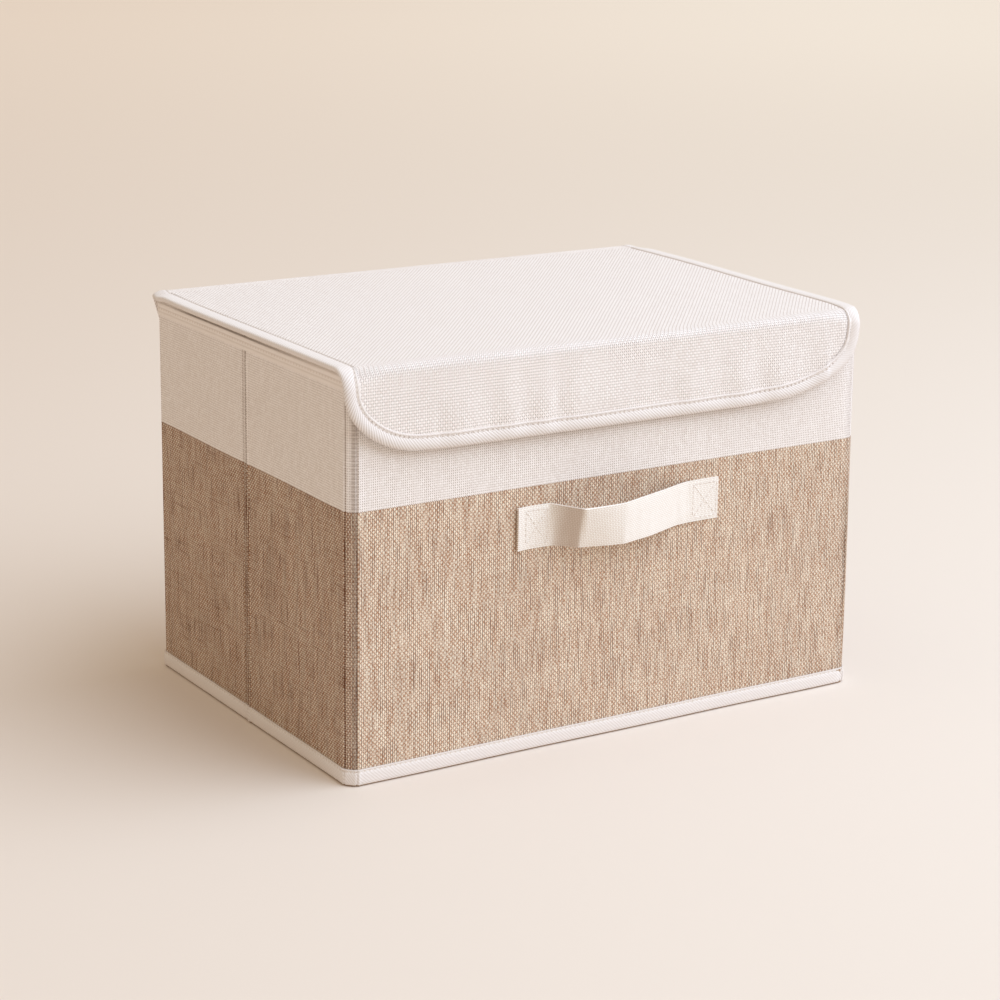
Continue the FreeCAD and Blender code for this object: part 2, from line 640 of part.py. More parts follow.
os.makedirs("parts", exist_ok=True)
for label, piece in pieces.items():
    piece.Label = label
    piece.Shape.exportStep(f"parts/{label}.step")
    points, facets = piece.Shape.tessellate(FACET_TOLERANCE)
    spans = [f"{min(row):.1f} to {max(row):.1f}" for row in zip(*points)]
    count = len(piece.Shape.Solids)
    print(f"{label}: {count} solid, {piece.Shape.Volume:.0f} mm3, {len(facets)} facets, " + ", ".join(spans))
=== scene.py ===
import math

import bpy
import numpy as np
from mathutils import Matrix, Vector


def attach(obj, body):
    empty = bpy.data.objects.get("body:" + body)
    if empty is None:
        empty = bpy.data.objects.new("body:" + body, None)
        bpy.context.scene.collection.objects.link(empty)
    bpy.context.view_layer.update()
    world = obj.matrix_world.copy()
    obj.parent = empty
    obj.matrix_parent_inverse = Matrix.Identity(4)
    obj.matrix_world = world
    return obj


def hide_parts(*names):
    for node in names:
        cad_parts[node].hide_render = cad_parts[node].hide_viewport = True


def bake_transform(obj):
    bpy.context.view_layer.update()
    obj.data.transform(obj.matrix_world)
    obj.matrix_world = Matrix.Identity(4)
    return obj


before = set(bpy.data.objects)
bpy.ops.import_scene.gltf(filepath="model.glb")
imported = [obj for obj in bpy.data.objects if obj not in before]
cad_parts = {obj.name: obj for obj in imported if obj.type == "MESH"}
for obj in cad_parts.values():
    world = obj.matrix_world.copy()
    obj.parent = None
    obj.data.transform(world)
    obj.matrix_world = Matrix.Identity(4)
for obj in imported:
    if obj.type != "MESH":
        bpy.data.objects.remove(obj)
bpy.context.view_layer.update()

# Camera: it stands to the left of the front and a little above the lid, where the photograph was taken from.
# Its place, its turns and its long lens were fitted to the box's straight edges.
camera_place = Vector((-0.8810, -1.3761, 0.5783))
camera_yaw = math.radians(32.513)
camera_pitch = math.radians(15.646)
camera_roll = math.radians(0.916)
bpy.ops.object.camera_add()
camera = bpy.context.object
camera.data.lens = 92.19
camera.data.sensor_width = 36
camera.data.clip_end = 60
camera.matrix_world = (
    Matrix.Translation(camera_place)
    @ Matrix.Rotation(-camera_yaw, 4, "Z")
    @ Matrix.Rotation(math.pi / 2 - camera_pitch, 4, "X")
    @ Matrix.Rotation(camera_roll, 4, "Z")
)
bpy.context.scene.camera = camera


# Studio floor: one wide sheet of pale cream paper. Its colour is painted lighter to the right and farther
# back, as painted light falloff, and darker under the lamp, as painted shade.
# Finish and Tone below mix its colour, and that of every other material after it.
class Tone:
    """A value that changes over a surface. Arithmetic on it adds the shader's maths nodes."""

    def __init__(self, finish, socket):
        self.finish = finish
        self.socket = socket

    def maths(self, operation, first, second=0.0):
        return self.finish.node("ShaderNodeMath", {"operation": operation}, {0: first, 1: second})

    def __add__(self, other):
        return self.maths("ADD", self, other)

    def __sub__(self, other):
        return self.maths("SUBTRACT", self, other)

    def __mul__(self, other):
        return self.maths("MULTIPLY", self, other)

    def __rsub__(self, other):
        return self.maths("SUBTRACT", other, self)

    def __abs__(self):
        return self.maths("ABSOLUTE", self)

    __radd__ = __add__
    __rmul__ = __mul__

    def sine(self):
        return self.maths("SINE", self)

    def floor(self):
        return self.maths("FLOOR", self)

    def larger(self, other):
        return self.maths("MAXIMUM", self, other)

    def above(self, other):
        return self.maths("GREATER_THAN", self, other)

    def ramp(self, start, end, low=0.0, high=1.0):
        """low before start, high after end, and a smooth step between."""
        sockets = {"Value": self, "From Min": start, "From Max": end, "To Min": low, "To Max": high}
        return self.finish.node("ShaderNodeMapRange", {"interpolation_type": "SMOOTHSTEP"}, sockets)


class Finish:
    """A material being mixed, for one kind of cloth, tape, board or paper."""

    def __init__(self, name, roughness=0.9, sheen=0.0):
        self.material = bpy.data.materials.new(name)
        self.material.use_nodes = True
        self.tree = self.material.node_tree
        self.shader = self.tree.nodes["Principled BSDF"]
        self.shader.inputs["Roughness"].default_value = roughness
        self.shader.inputs["Specular IOR Level"].default_value = 0.25
        self.shader.inputs["Sheen Weight"].default_value = sheen

    def node(self, kind, settings=None, sockets=None, give=0):
        made = self.tree.nodes.new(kind)
        for setting, choice in (settings or {}).items():
            setattr(made, setting, choice)
        for socket, value in (sockets or {}).items():
            self.feed(made.inputs[socket], value)
        return Tone(self, made.outputs[give])

    def feed(self, socket, value):
        if isinstance(value, Tone):
            self.tree.links.new(value.socket, socket)
        else:
            socket.default_value = value

    def blend(self, factor, first, second):
        """Colour first where factor is 0, and second where it is 1."""
        return self.node("ShaderNodeMix", {"data_type": "RGBA"}, {0: factor, 6: first, 7: second}, give=2)

    def spread(self, places):
        """The three numbers of a place on the surface."""
        split = self.node("ShaderNodeSeparateXYZ", None, {0: places}).socket.node
        return [Tone(self, output) for output in split.outputs]

    def gather(self, x=0.0, y=0.0, z=0.0):
        return self.node("ShaderNodeCombineXYZ", None, {0: x, 1: y, 2: z})

    def noise(self, places, scale, detail=2.0, roughness=0.5):
        sockets = {"Vector": places, "Scale": scale, "Detail": detail, "Roughness": roughness}
        return self.node("ShaderNodeTexNoise", None, sockets)

    def coat(self, colour, height=None, distance=0.0002, strength=1.0):
        """Gives the shader its colour, and its relief from a height of 0 to 1 over distance."""
        self.feed(self.shader.inputs["Base Color"], colour)
        if height is not None:
            sockets = {"Height": height, "Distance": distance, "Strength": strength}
            self.feed(self.shader.inputs["Normal"], self.node("ShaderNodeBump", None, sockets))
        return self.material


def srgb(red, green, blue):
    """A colour as a screen shows it, 0 to 255, in the shader's own light values."""
    light = [c / 255 / 12.92 if c <= 10 else ((c / 255 + 0.055) / 1.055) ** 2.4 for c in (red, green, blue)]
    return (*light, 1.0)


bpy.ops.object.select_all(action="DESELECT")
bpy.ops.mesh.primitive_plane_add(size=40)
floor = bpy.context.object
floor.name = "studio_floor"
paper = Finish("floor_paper", roughness=0.95)
floor_x, floor_y, _ = paper.spread(paper.node("ShaderNodeTexCoord", give=3))
lamp_turn = math.radians(44)


def along_floor(turn):
    """How far a place on the floor lies one way: straight back, or turned from there toward the right."""
    return floor_x * math.sin(turn) + floor_y * math.cos(turn)


# Painted light on the paper: lighter toward the right and farther back, with painted shade under the lamp.
painted_light_to_right = along_floor(camera_yaw + math.pi / 2).ramp(-1.6, 1.2)
painted_light_to_back = along_floor(camera_yaw).ramp(0.0, 5.0)
near_paper = paper.blend(painted_light_to_right, srgb(222, 206, 191), srgb(234, 226, 217))
far_paper = paper.blend(painted_light_to_right, srgb(240, 225, 209), srgb(255, 248, 237))
painted_shade_under_lamp = along_floor(math.pi - lamp_turn).ramp(0.36, 1.2)
paper_colour = paper.blend(painted_shade_under_lamp, paper.blend(painted_light_to_back, near_paper, far_paper), srgb(206, 190, 174))
floor.data.materials.append(paper.coat(paper_colour))

# Studio light: a wide soft window and a nearer soft panel, both from the right front.
# Warmer light from the room round them fills the shaded sides.
lamp_height = math.radians(48.5)
lamp_distance = 1.9
lamp_way = Vector(
    (
        math.sin(lamp_turn) * math.cos(lamp_height),
        -math.cos(lamp_turn) * math.cos(lamp_height),
        math.sin(lamp_height),
    )
)
lamp_turned = lamp_way.to_track_quat("Z", "Y").to_matrix().to_4x4()
lamp_colour = (0.69, 0.825, 1.01)
bpy.ops.object.light_add(type="SUN")
window = bpy.context.object
window.data.energy = 1.72
window.data.angle = math.radians(66)
window.data.color = lamp_colour
window.matrix_world = Matrix.Translation(lamp_way) @ lamp_turned
bpy.ops.object.light_add(type="AREA")
lamp = bpy.context.object
lamp.data.shape = "DISK"
lamp.data.size = 2.6
lamp.data.energy = 21.6
lamp.data.color = lamp_colour
lamp.matrix_world = Matrix.Translation(lamp_way * lamp_distance) @ lamp_turned
room = bpy.data.worlds.new("room")
bpy.context.scene.world = room
room.use_nodes = True
room_light = room.node_tree.nodes["Background"]
room_light.inputs["Color"].default_value = (1.0, 0.84, 0.66, 1.0)
room_light.inputs["Strength"].default_value = 0.61
bpy.context.scene.view_settings.view_transform = "Standard"

# Wall cloth, upper part: a cream polyester plain weave that goes once round the box over the wall boards.
# The box's corners are pressed flat and stitched on both sides, and each side wall is stitched down the
# middle. Places round the walls are measured from the back left corner, along the left wall first.
mm = 0.001
half_width = 190 * mm
half_depth = 130 * mm
colour_line = 170 * mm
girth = 4 * (half_width + half_depth)
wall_corners = np.cumsum([0, 2 * half_depth, 2 * half_width, 2 * half_depth, 2 * half_width])
wall_creases = [half_depth, 3 * half_depth + 2 * half_width]
corner_slant = 5.0 * mm
sharp_slant = 3.2 * mm
sharp_slant_growth = 3.4 * mm
slant_growth_outwards = 0.586
corner_softness = 0.9 * mm
corner_row = 5.1 * mm
crease_rows = (0.8 * mm, 5.4 * mm)
# How deep each dent beside a side wall's crease is, how far from it, and how wide. The last is a ridge.
crease_dents = (
    (1.9 * mm, 0.8 * mm, 0.6 * mm),
    (0.4 * mm, 4.8 * mm, 1.2 * mm),
    (-0.9 * mm, -1.3 * mm, 1.0 * mm),
)
front_right_lean = 1.4 * mm


def rise(start, end, value):
    """0 before start, 1 after end, and a smooth step between."""
    t = np.clip((value - start) / (end - start), 0, 1)
    return t * t * (3 - 2 * t)


def bump(value, centre, width):
    """A smooth hump, 1 at centre and 0 beyond a few widths."""
    return np.exp(-(((value - centre) / width) ** 2))


def places(start, end, step, fine=(), reach=9 * mm, fine_step=0.7 * mm):
    """Thread lines from start to end, a step apart, or a fine step within reach of each place in fine."""
    spots = [start]
    while spots[-1] < end:
        near = any(abs(spots[-1] - spot) < reach for spot in fine)
        spots.append(spots[-1] + (fine_step if near else step))
    return np.array([spot for spot in spots if spot < end - fine_step / 3] + [end])


def mark_flat(cloth, flat_x, flat_y):
    """Writes where each point of the cloth lies when flat. Its weave or its ribs follow these places."""
    corners = np.empty(len(cloth.data.loops), int)
    cloth.data.loops.foreach_get("vertex_index", corners)
    cloth.data.uv_layers[0].data.foreach_set("uv", np.stack([flat_x, flat_y], 1)[corners].ravel())


def cut(name, across, along):
    """A flat piece of cloth with a line of threads at each of these places, and where its points lie."""
    bpy.ops.object.select_all(action="DESELECT")
    columns, rows = len(across) - 1, len(along) - 1
    bpy.ops.mesh.primitive_grid_add(x_subdivisions=columns, y_subdivisions=rows, size=2)
    cloth = bpy.context.object
    cloth.name = name
    cloth.data.name = name
    spots = np.empty(len(cloth.data.vertices) * 3)
    cloth.data.vertices.foreach_get("co", spots)
    spots = spots.reshape(-1, 3)
    flat_x = np.asarray(across)[np.rint((spots[:, 0] + 1) / 2 * columns).astype(int)]
    flat_y = np.asarray(along)[np.rint((spots[:, 1] + 1) / 2 * rows).astype(int)]
    mark_flat(cloth, flat_x, flat_y)
    return cloth, flat_x, flat_y


def lay(cloth, points, material, thickness, turned=False, seam_and_painted_shade=None, joined=False):
    """Puts the cut cloth in place, gives it its thickness behind the face, and its material.
    turned swaps its face and its back. The seam mark, from 0 to 1, is where a row of stitches pulls the
    cloth in, and where the weave is darkened with needle holes and painted shade.
    joined closes the cloth where its edges meet."""
    cloth.data.vertices.foreach_set("co", np.stack(points, 1).ravel())
    cloth.data.update()
    if seam_and_painted_shade is not None:
        cloth.data.attributes.new("seam_and_painted_shade", "FLOAT", "POINT")
        cloth.data.attributes["seam_and_painted_shade"].data.foreach_set("value", seam_and_painted_shade)
    if turned:
        bpy.ops.object.mode_set(mode="EDIT")
        bpy.ops.mesh.select_all(action="SELECT")
        bpy.ops.mesh.flip_normals()
        bpy.ops.object.mode_set(mode="OBJECT")
    if joined:
        bpy.ops.object.mode_set(mode="EDIT")
        bpy.ops.mesh.select_all(action="SELECT")
        bpy.ops.mesh.remove_doubles(threshold=0.05 * mm)
        bpy.ops.object.mode_set(mode="OBJECT")
    body = cloth.modifiers.new("thickness", "SOLIDIFY")
    body.thickness = thickness
    body.offset = -1
    body.use_even_offset = False
    bpy.context.view_layer.objects.active = cloth
    bpy.ops.object.modifier_apply(modifier=body.name)
    bpy.ops.object.select_all(action="DESELECT")
    cloth.select_set(True)
    bpy.context.view_layer.objects.active = cloth
    bpy.ops.object.shade_smooth_by_angle(angle=math.radians(50))
    cloth.data.materials.append(material)


def wall_place(around, height, out):
    """A point of the wall: how far round, how high, and how far outside the face.
    The front right corner is sharper than the others, and leans in toward the rim."""
    around = np.mod(around, girth)
    turns = wall_corners[:4]
    side = np.searchsorted(turns, around, side="right") - 1
    half = np.where(side % 2 == 0, half_depth, half_width)
    along = around - turns[side] - half
    edge = half - np.abs(along)
    front_right = ((side == 1) & (along > 0)) | ((side == 2) & (along < 0))
    sharp = sharp_slant + sharp_slant_growth * rise(0, 250 * mm, height)
    slant = np.where(front_right, sharp, corner_slant) + slant_growth_outwards * out
    taper = slant - edge
    slope = (taper + np.sqrt(taper**2 + corner_softness**2)) / 4
    ridge = 0.35 * mm * bump(edge, slant + 1.6 * mm, 0.8 * mm)
    groove = 0.9 * mm * bump(edge, slant + 0.2 * mm, 0.6 * mm)
    beside = np.where(side == 0, -along, along)
    dents = sum(deep * bump(beside, centre, width) for deep, centre, width in crease_dents)
    crease = (side % 2 == 0) * rise(244 * mm, 238 * mm, height) * dents
    sag = 0.35 * mm * np.sin(along * 41 + side) * np.sin(height * 27 + 2 * side)
    sag = sag * rise(4 * mm, 30 * mm, edge)
    face = half_width + half_depth - half + out - slope - groove + ridge - crease + sag
    run = (half + out) * along / half - np.sign(along) * slope
    fading = np.where(side == 2, rise(10 * mm, 2 * mm, edge), rise(120 * mm, 0, edge))
    lean = front_right_lean * rise(60 * mm, 250 * mm, height) * front_right * fading
    x = np.choose(side, [-face, run, face, -run]) - lean
    y = np.choose(side, [-run, -face, run, face])
    return x, y, height + 0 * x


def wall_seam_holes_and_shade(around):
    """Where the rows of stitches at the corners and down the side walls pull the cloth in, darkened in dots
    as needle holes and painted shade.
    The front left corner also gets painted shade beside its seam, on the slanting strip that turns from the
    light."""
    to_corner = np.min([np.abs(around - corner) for corner in wall_corners], axis=0)
    marks = bump(to_corner, corner_row, 0.8 * mm) * 0.4
    # Painted shade on the front left corner's slanting strip, beside its seam.
    marks = marks + bump(around, wall_corners[1] + 2.4 * mm, 2.3 * mm) * 0.55
    for crease, way in zip(wall_creases, (-1, 1)):
        beside = (around - crease) * way
        marks = marks + bump(beside, crease_rows[0], 0.9 * mm) * 1.6 + bump(beside, 4.6 * mm, 1.0 * mm) * 0.5
    return np.clip(marks, 0, 1)


def weave(
    finish,
    pitch,
    light,
    dark,
    pore,
    wander,
    slub,
    grain,
    check,
    hanging=None,
    sunk=0.0,
    spots=1,
    open_weave=0.6,
    gaps=False,
):
    """A plain weave on the cloth's own threads, a pitch apart: its colour and how high each thread lies.
    It also gives the places across and along the cloth, and the level yarns' wave.

    wander is how far the threads stray, slub how much each yarn changes along its length, and grain how much
    one crossing differs from the next. check is how much lighter the upright yarns are painted where they
    lie on top, a painted sheen, or hanging where the lid's cloth hangs down; with hanging the weave also
    opens over the fold, partly as painted shade. sunk is how much lower the level yarns lie, spots how many
    flecks of colour a crossing has each way, and open_weave how high a thread has to lie to hide the dark
    pores. With gaps, some upright yarns stand apart."""
    u, v, _ = finish.spread(finish.node("ShaderNodeUVMap"))
    drift = finish.noise(finish.gather(u, v), 90, 2.0) - 0.5
    x = u * (1 / pitch[0]) + drift * wander
    y = v * (1 / pitch[1]) + drift * wander
    if hanging is not None:
        fold_top, fold_foot = 125 * mm, 140 * mm
        fewer_threads = 45
        hang = v.ramp(fold_top, fold_foot)
        x = x - hang * u * fewer_threads
        y = y - (v - fold_foot).larger(0.0) * fewer_threads
        check = hang * (hanging - check) + check
        # Over the fold the weave opens and shows more dark pores, partly as painted shade against the lamp's
        # highlight on the fold.
        fold_open_and_shaded = v.ramp(129 * mm, 134 * mm) * v.ramp(137 * mm, 142 * mm, 1.0, 0.0)
        open_weave = fold_open_and_shaded * 0.16 + open_weave
    wave_x = (x * math.pi).sine()
    wave_y = (y * math.pi).sine()
    over = wave_x * wave_y
    upright = abs(wave_x) * (over * 0.2 + 0.85)
    level = abs(wave_y) * (0.66 - sunk - over * 0.25)
    height = upright.larger(level)
    column = x.floor()
    row = y.floor()
    fleck = finish.gather((x * spots).floor(), (y * spots).floor())
    spot = finish.node("ShaderNodeTexWhiteNoise", {"noise_dimensions": "2D"}, {0: fleck})
    along_upright = finish.noise(finish.gather(column * 3.71, v * 40, 0.0), 1.0, 1.0) - 0.5
    along_level = finish.noise(finish.gather(u * 45, row * 3.13, 7.0), 1.0, 1.0) - 0.5
    yarn = along_upright + along_level * 0.3
    # Where the upright yarns lie on top they are painted lighter, a painted sheen.
    shade = yarn * (slub * 4) + (spot - 0.5) * grain + over * check + 0.5
    yarns = finish.blend(shade.ramp(-0.1, 1.1), dark, light)
    colour = finish.blend(height.ramp(0.05, open_weave), pore, yarns)
    if gaps:
        apart = finish.noise(finish.gather((x + 0.5).floor() * 5.3, v * 38, 3.0), 1.0, 1.0)
        split = abs(wave_x).ramp(0.1, 0.55, 1.0, 0.0) * apart.ramp(0.5, 0.62)
        colour = finish.blend(split, colour, pore)
    # Along a seam the weave is darkened in dots: needle holes, and painted shade in the seam's groove.
    seam_and_painted_shade = finish.node("ShaderNodeAttribute", {"attribute_name": "seam_and_painted_shade"}, give=2)
    dotted = (v * (2 * math.pi / (2.6 * mm))).sine().ramp(-0.6, 0.4, 0.6, 0.95)
    colour = finish.blend(seam_and_painted_shade * dotted, colour, pore)
    return colour, height, (u, v, wave_y)


cream_weave = Finish("cream_weave", roughness=0.92, sheen=0.05)
cream_colour, cream_height, _ = weave(
    cream_weave,
    (1.43 * mm, 1.52 * mm),
    light=srgb(255, 250, 247),
    dark=srgb(226, 216, 209),
    pore=srgb(118, 90, 68),
    wander=0.25,
    slub=0.08,
    grain=0.25,
    check=0.12,
)
cream_material = cream_weave.coat(cream_colour, cream_height, distance=0.25 * mm, strength=0.6)

wall_turns = [*wall_corners, *wall_creases]
wall_lines = places(0, girth, 6 * mm, fine=wall_turns, fine_step=0.45 * mm)
upper_top = 251.4 * mm
upper_cloth, around, height = cut("upper_wall_cloth", wall_lines, places(colour_line, upper_top, 5 * mm))
lay(upper_cloth, wall_place(around, height, 0), cream_material, 0.7 * mm, seam_and_painted_shade=wall_seam_holes_and_shade(around))
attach(upper_cloth, "box")
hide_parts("upper_cloth")
wall_boards = ["front_board", "back_board"]

# Wall cloth, lower part: brown linen with thick and thin yarns, edge to edge with the cream cloth.
# It turns the same corners and takes the same stitches. On the side walls its colour is darker and rougher,
# which is painted shade.
linen_weave = Finish("brown_linen", roughness=0.95, sheen=0.05)
linen_colour, linen_height, (u, v, wave_y) = weave(
    linen_weave,
    (1.42 * mm, 1.50 * mm),
    light=srgb(255, 243, 223),
    dark=srgb(182, 136, 104),
    pore=srgb(64, 26, 10),
    wander=0.25,
    slub=0.16,
    grain=0.5,
    check=0.36,
    sunk=0.14,
    spots=2,
    open_weave=0.64,
    gaps=True,
)
linen_brown = srgb(104, 62, 40)
linen_bare = srgb(250, 232, 210)
blotch = linen_weave.noise(linen_weave.gather(u, v), 14, 1.0, 0.5)
# On the side walls the linen is painted darker in its hollows and streaks, as painted shade.
painted_shade_sides = ((u - half_depth) * (2 * math.pi / (girth / 2)) + math.pi / 2).sine().above(0.29)
painted_shade_hollows = (0.6 - linen_height * 0.65).larger(0.0) + abs(wave_y).ramp(0.1, 0.8, 0.4, 0.0)
linen_shade = blotch.ramp(0.35, 0.8, 0.0, 0.08) + painted_shade_sides * painted_shade_hollows
streaks = linen_weave.noise(linen_weave.gather(u * 760, v * 38, 5.0), 1.0, 1.0)
level_streaks = linen_weave.noise(linen_weave.gather(u * 42, v * 700, 8.0), 1.0, 1.0)
linen_pale = linen_weave.blend(streaks.ramp(0.2, 0.42, 0.3, 0.0), linen_colour, linen_bare)
linen_shade = linen_shade + streaks.ramp(0.54, 0.74, 0.0, 0.3) * (painted_shade_sides * 0.4 + 1.0)
linen_shade = linen_shade + level_streaks.ramp(0.56, 0.76, 0.0, 0.24) * (painted_shade_sides * 0.8 + 0.2)
linen_mottle = linen_weave.blend(linen_shade, linen_pale, linen_brown)
linen_material = linen_weave.coat(linen_mottle, linen_height, distance=0.28 * mm, strength=0.7)
lower_foot = 0.6 * mm
lower_cloth, around, height = cut("lower_wall_cloth", wall_lines, places(lower_foot, colour_line, 6 * mm))
lay(lower_cloth, wall_place(around, height, 0), linen_material, 0.7 * mm, seam_and_painted_shade=wall_seam_holes_and_shade(around))
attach(lower_cloth, "box")
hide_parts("lower_cloth")

# Wall lining: cream non-woven cloth, pressed into small dimples, inside the wall boards.
# Its top edge is pulled in a little by the hem and ends under the rim tape.
dimple_pitch = 1.8 * mm
lining_felt = Finish("cream_non_woven", roughness=0.95)
felt_x, felt_y, _ = lining_felt.spread(lining_felt.node("ShaderNodeUVMap"))
fibres = lining_felt.noise(lining_felt.gather(felt_x, felt_y), 900, 3.0, 0.7)
dimple = (felt_x * (math.pi / dimple_pitch)).sine() * (felt_y * (math.pi / dimple_pitch)).sine()
felt_colour = lining_felt.blend(fibres.ramp(0.3, 0.7), srgb(219, 209, 198), srgb(240, 233, 225))
felt_height = fibres * 0.5 + dimple * 0.5
lining_material = lining_felt.coat(felt_colour, felt_height, distance=0.12 * mm, strength=0.5)
lining_inset = 3.4 * mm
lining_foot = 1.1 * mm
hem_height = 238 * mm
wall_lining, around, height = cut("wall_lining_cloth", wall_lines, places(lining_foot, upper_top, 6 * mm))
lining_out = -lining_inset - 0.5 * mm * bump(height, hem_height, 4 * mm)
lay(wall_lining, wall_place(around, height, lining_out), lining_material, thickness=0.4 * mm)
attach(wall_lining, "box")
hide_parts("wall_lining")

# Rim tape: smooth cream tape folded over the top edge of the wall and stitched through with cream thread.
# Its section starts at the foot of its outer side, which is pressed into two grooves, and ends inside.
stitch_pitch = 3.5 * mm
stitch_length = 2.7 * mm
thread_twist = 0.5 * mm
rib_pitch = 0.8 * mm
smooth_tape = Finish("smooth_tape", roughness=0.75, sheen=0.05)
tape_across, tape_along, _ = smooth_tape.spread(smooth_tape.node("ShaderNodeUVMap"))
tape_rib = (tape_across * (2 * math.pi / rib_pitch)).sine() * 0.5 + 0.5
tape_slub = smooth_tape.noise(smooth_tape.gather(tape_across * 300, tape_along * 60), 1.0, 3.0)
tape_shade = tape_slub * 0.5 + tape_rib * 0.25 + 0.1
tape_colour = smooth_tape.blend(tape_shade, srgb(234, 224, 217), srgb(252, 246, 242))
rim_section = np.array(
    [(0.15, 241.6), (0.75, 241.8), (0.8, 242.6), (0.75, 243.6), (0.6, 244.2), (0.7, 244.8), (0.75, 246.2)]
    + [(0.6, 246.8), (0.8, 247.4), (0.9, 248.8), (0.7, 249.8), (-0.2, 250.8), (-1.6, 251.6), (-3.0, 251.8)]
    + [(-4.2, 251.5), (-4.4, 250.6), (-4.4, 246.0), (-4.35, 242.4), (-4.1, 242.0)]
)
rim_section *= mm


def thread(name, dark, light, roughness):
    """Twisted sewing thread."""
    finish = Finish(name, roughness=roughness, sheen=0.05)
    x, y, z = finish.spread(finish.node("ShaderNodeTexCoord", give=3))
    twist = ((x + y + z) * (2 * math.pi / thread_twist)).sine() * 0.5 + 0.5
    return finish.coat(finish.blend(twist, dark, light), twist, distance=0.08 * mm, strength=0.6)


cream_thread = thread("sewing_thread", srgb(232, 222, 212), srgb(250, 245, 240), 0.6)


def walked(points):
    """How far along a line each of its points lies."""
    return np.concatenate([[0], np.cumsum(np.linalg.norm(np.diff(points, axis=0), axis=1))])


def needle_holes(finish, across, along, line):
    """Where the needle went through a tape, between one stitch and the next: 1 in each hole."""
    turn = (along - (stitch_pitch / 2 - 0.4 * mm)) * (2 * math.pi / stitch_pitch) + math.pi / 2
    return turn.sine().ramp(0.2, 0.9) * abs(across - line).ramp(0.35 * mm, 1.0 * mm, 1.0, 0.0)


def stitches(line):
    """A row of stitches along a line on flat cloth: where each one starts and ends."""
    steps = walked(line)
    starts = np.arange(stitch_pitch / 2, steps[-1] - stitch_length, stitch_pitch)
    ends = [np.interp(at, steps, line[:, k]) for at in (starts, starts + stitch_length) for k in (0, 1)]
    return np.stack(ends, 1)


def sew(name, place, rows, out, width=0.75 * mm, colour=cream_thread):
    """Sews rows of stitches. One loop of thread is modelled and copied to each stitch."""
    rows = np.concatenate(rows)
    starts = np.stack(place(rows[:, 0], rows[:, 1], out), 1)
    ends = np.stack(place(rows[:, 2], rows[:, 3], out), 1)
    middle = (rows[:, :2] + rows[:, 2:]) / 2
    above = np.stack(place(middle[:, 0], middle[:, 1], out + mm), 1)
    faces = above - np.stack(place(middle[:, 0], middle[:, 1], out), 1)
    bpy.ops.object.select_all(action="DESELECT")
    bpy.ops.mesh.primitive_uv_sphere_add(segments=6, ring_count=5, radius=1)
    loop = bpy.context.object
    loop.data.materials.append(colour)
    bpy.ops.object.shade_smooth()
    copies = []
    for start, end, face in zip(starts, ends, faces):
        run = Vector(end - start) / 2
        face = Vector(face).normalized()
        across = face.cross(run).normalized() * width / 2
        turned = Matrix((across, face * width / 2.4, run)).transposed().to_4x4()
        stitch = loop.copy()
        stitch.data = loop.data.copy()
        stitch.data.transform(Matrix.Translation(Vector(start + end) / 2) @ turned)
        bpy.context.collection.objects.link(stitch)
        copies.append(stitch)
    bpy.data.objects.remove(loop)
    for stitch in copies:
        stitch.select_set(True)
    bpy.context.view_layer.objects.active = copies[0]
    bpy.ops.object.join()
    copies[0].name = name
    copies[0].data.name = name
    bpy.ops.object.mode_set(mode="EDIT")
    bpy.ops.mesh.select_all(action="SELECT")
    bpy.ops.mesh.normals_make_consistent(inside=False)
    bpy.ops.object.mode_set(mode="OBJECT")
    return copies[0]


def round_wall(height, points=1600):
    """A level line round the walls."""
    return np.stack([np.linspace(mm, girth - mm, points), np.full(points, height)], 1)


rim_steps = walked(rim_section)
for groove in (rim_steps[4], rim_steps[7]):
    groove_shade = abs(tape_across - groove).ramp(0.2 * mm, 0.8 * mm, 0.25, 0.0)
    tape_colour = smooth_tape.blend(groove_shade, tape_colour, srgb(186, 168, 152))
rim_holes = needle_holes(smooth_tape, tape_across, tape_along, rim_steps[6])
tape_colour = smooth_tape.blend(rim_holes, tape_colour, srgb(226, 214, 205))
# Painted shadow of the lid's edge on the top of the rim tape, darkest on the left wall and faint near the
# corners.
lid_shade_along = tape_along.ramp(15 * mm, 60 * mm) * tape_along.ramp(120 * mm, 240 * mm, 0.55, 0.0) + 0.12
painted_shade_under_lid = tape_across.ramp(rim_steps[9] + 0.3 * mm, rim_steps[10] + 0.3 * mm) * lid_shade_along
tape_colour = smooth_tape.blend(painted_shade_under_lid, tape_colour, srgb(96, 76, 62))
smooth_tape_material = smooth_tape.coat(tape_colour, tape_rib, distance=0.08 * mm, strength=0.5)
rim_tape, across, around = cut("rim_tape", rim_steps, wall_lines)
rim_out = np.interp(across, rim_steps, rim_section[:, 0])
rim_height = np.interp(across, rim_steps, rim_section[:, 1])
lay(rim_tape, wall_place(around, rim_height, rim_out), smooth_tape_material, thickness=0.4 * mm, turned=True)
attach(rim_tape, "box")
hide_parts("rim_binding")
rim_stitches = sew("rim_stitches", wall_place, [stitches(round_wall(245.6 * mm))], 0.45 * mm, 0.5 * mm)
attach(rim_stitches, "box")

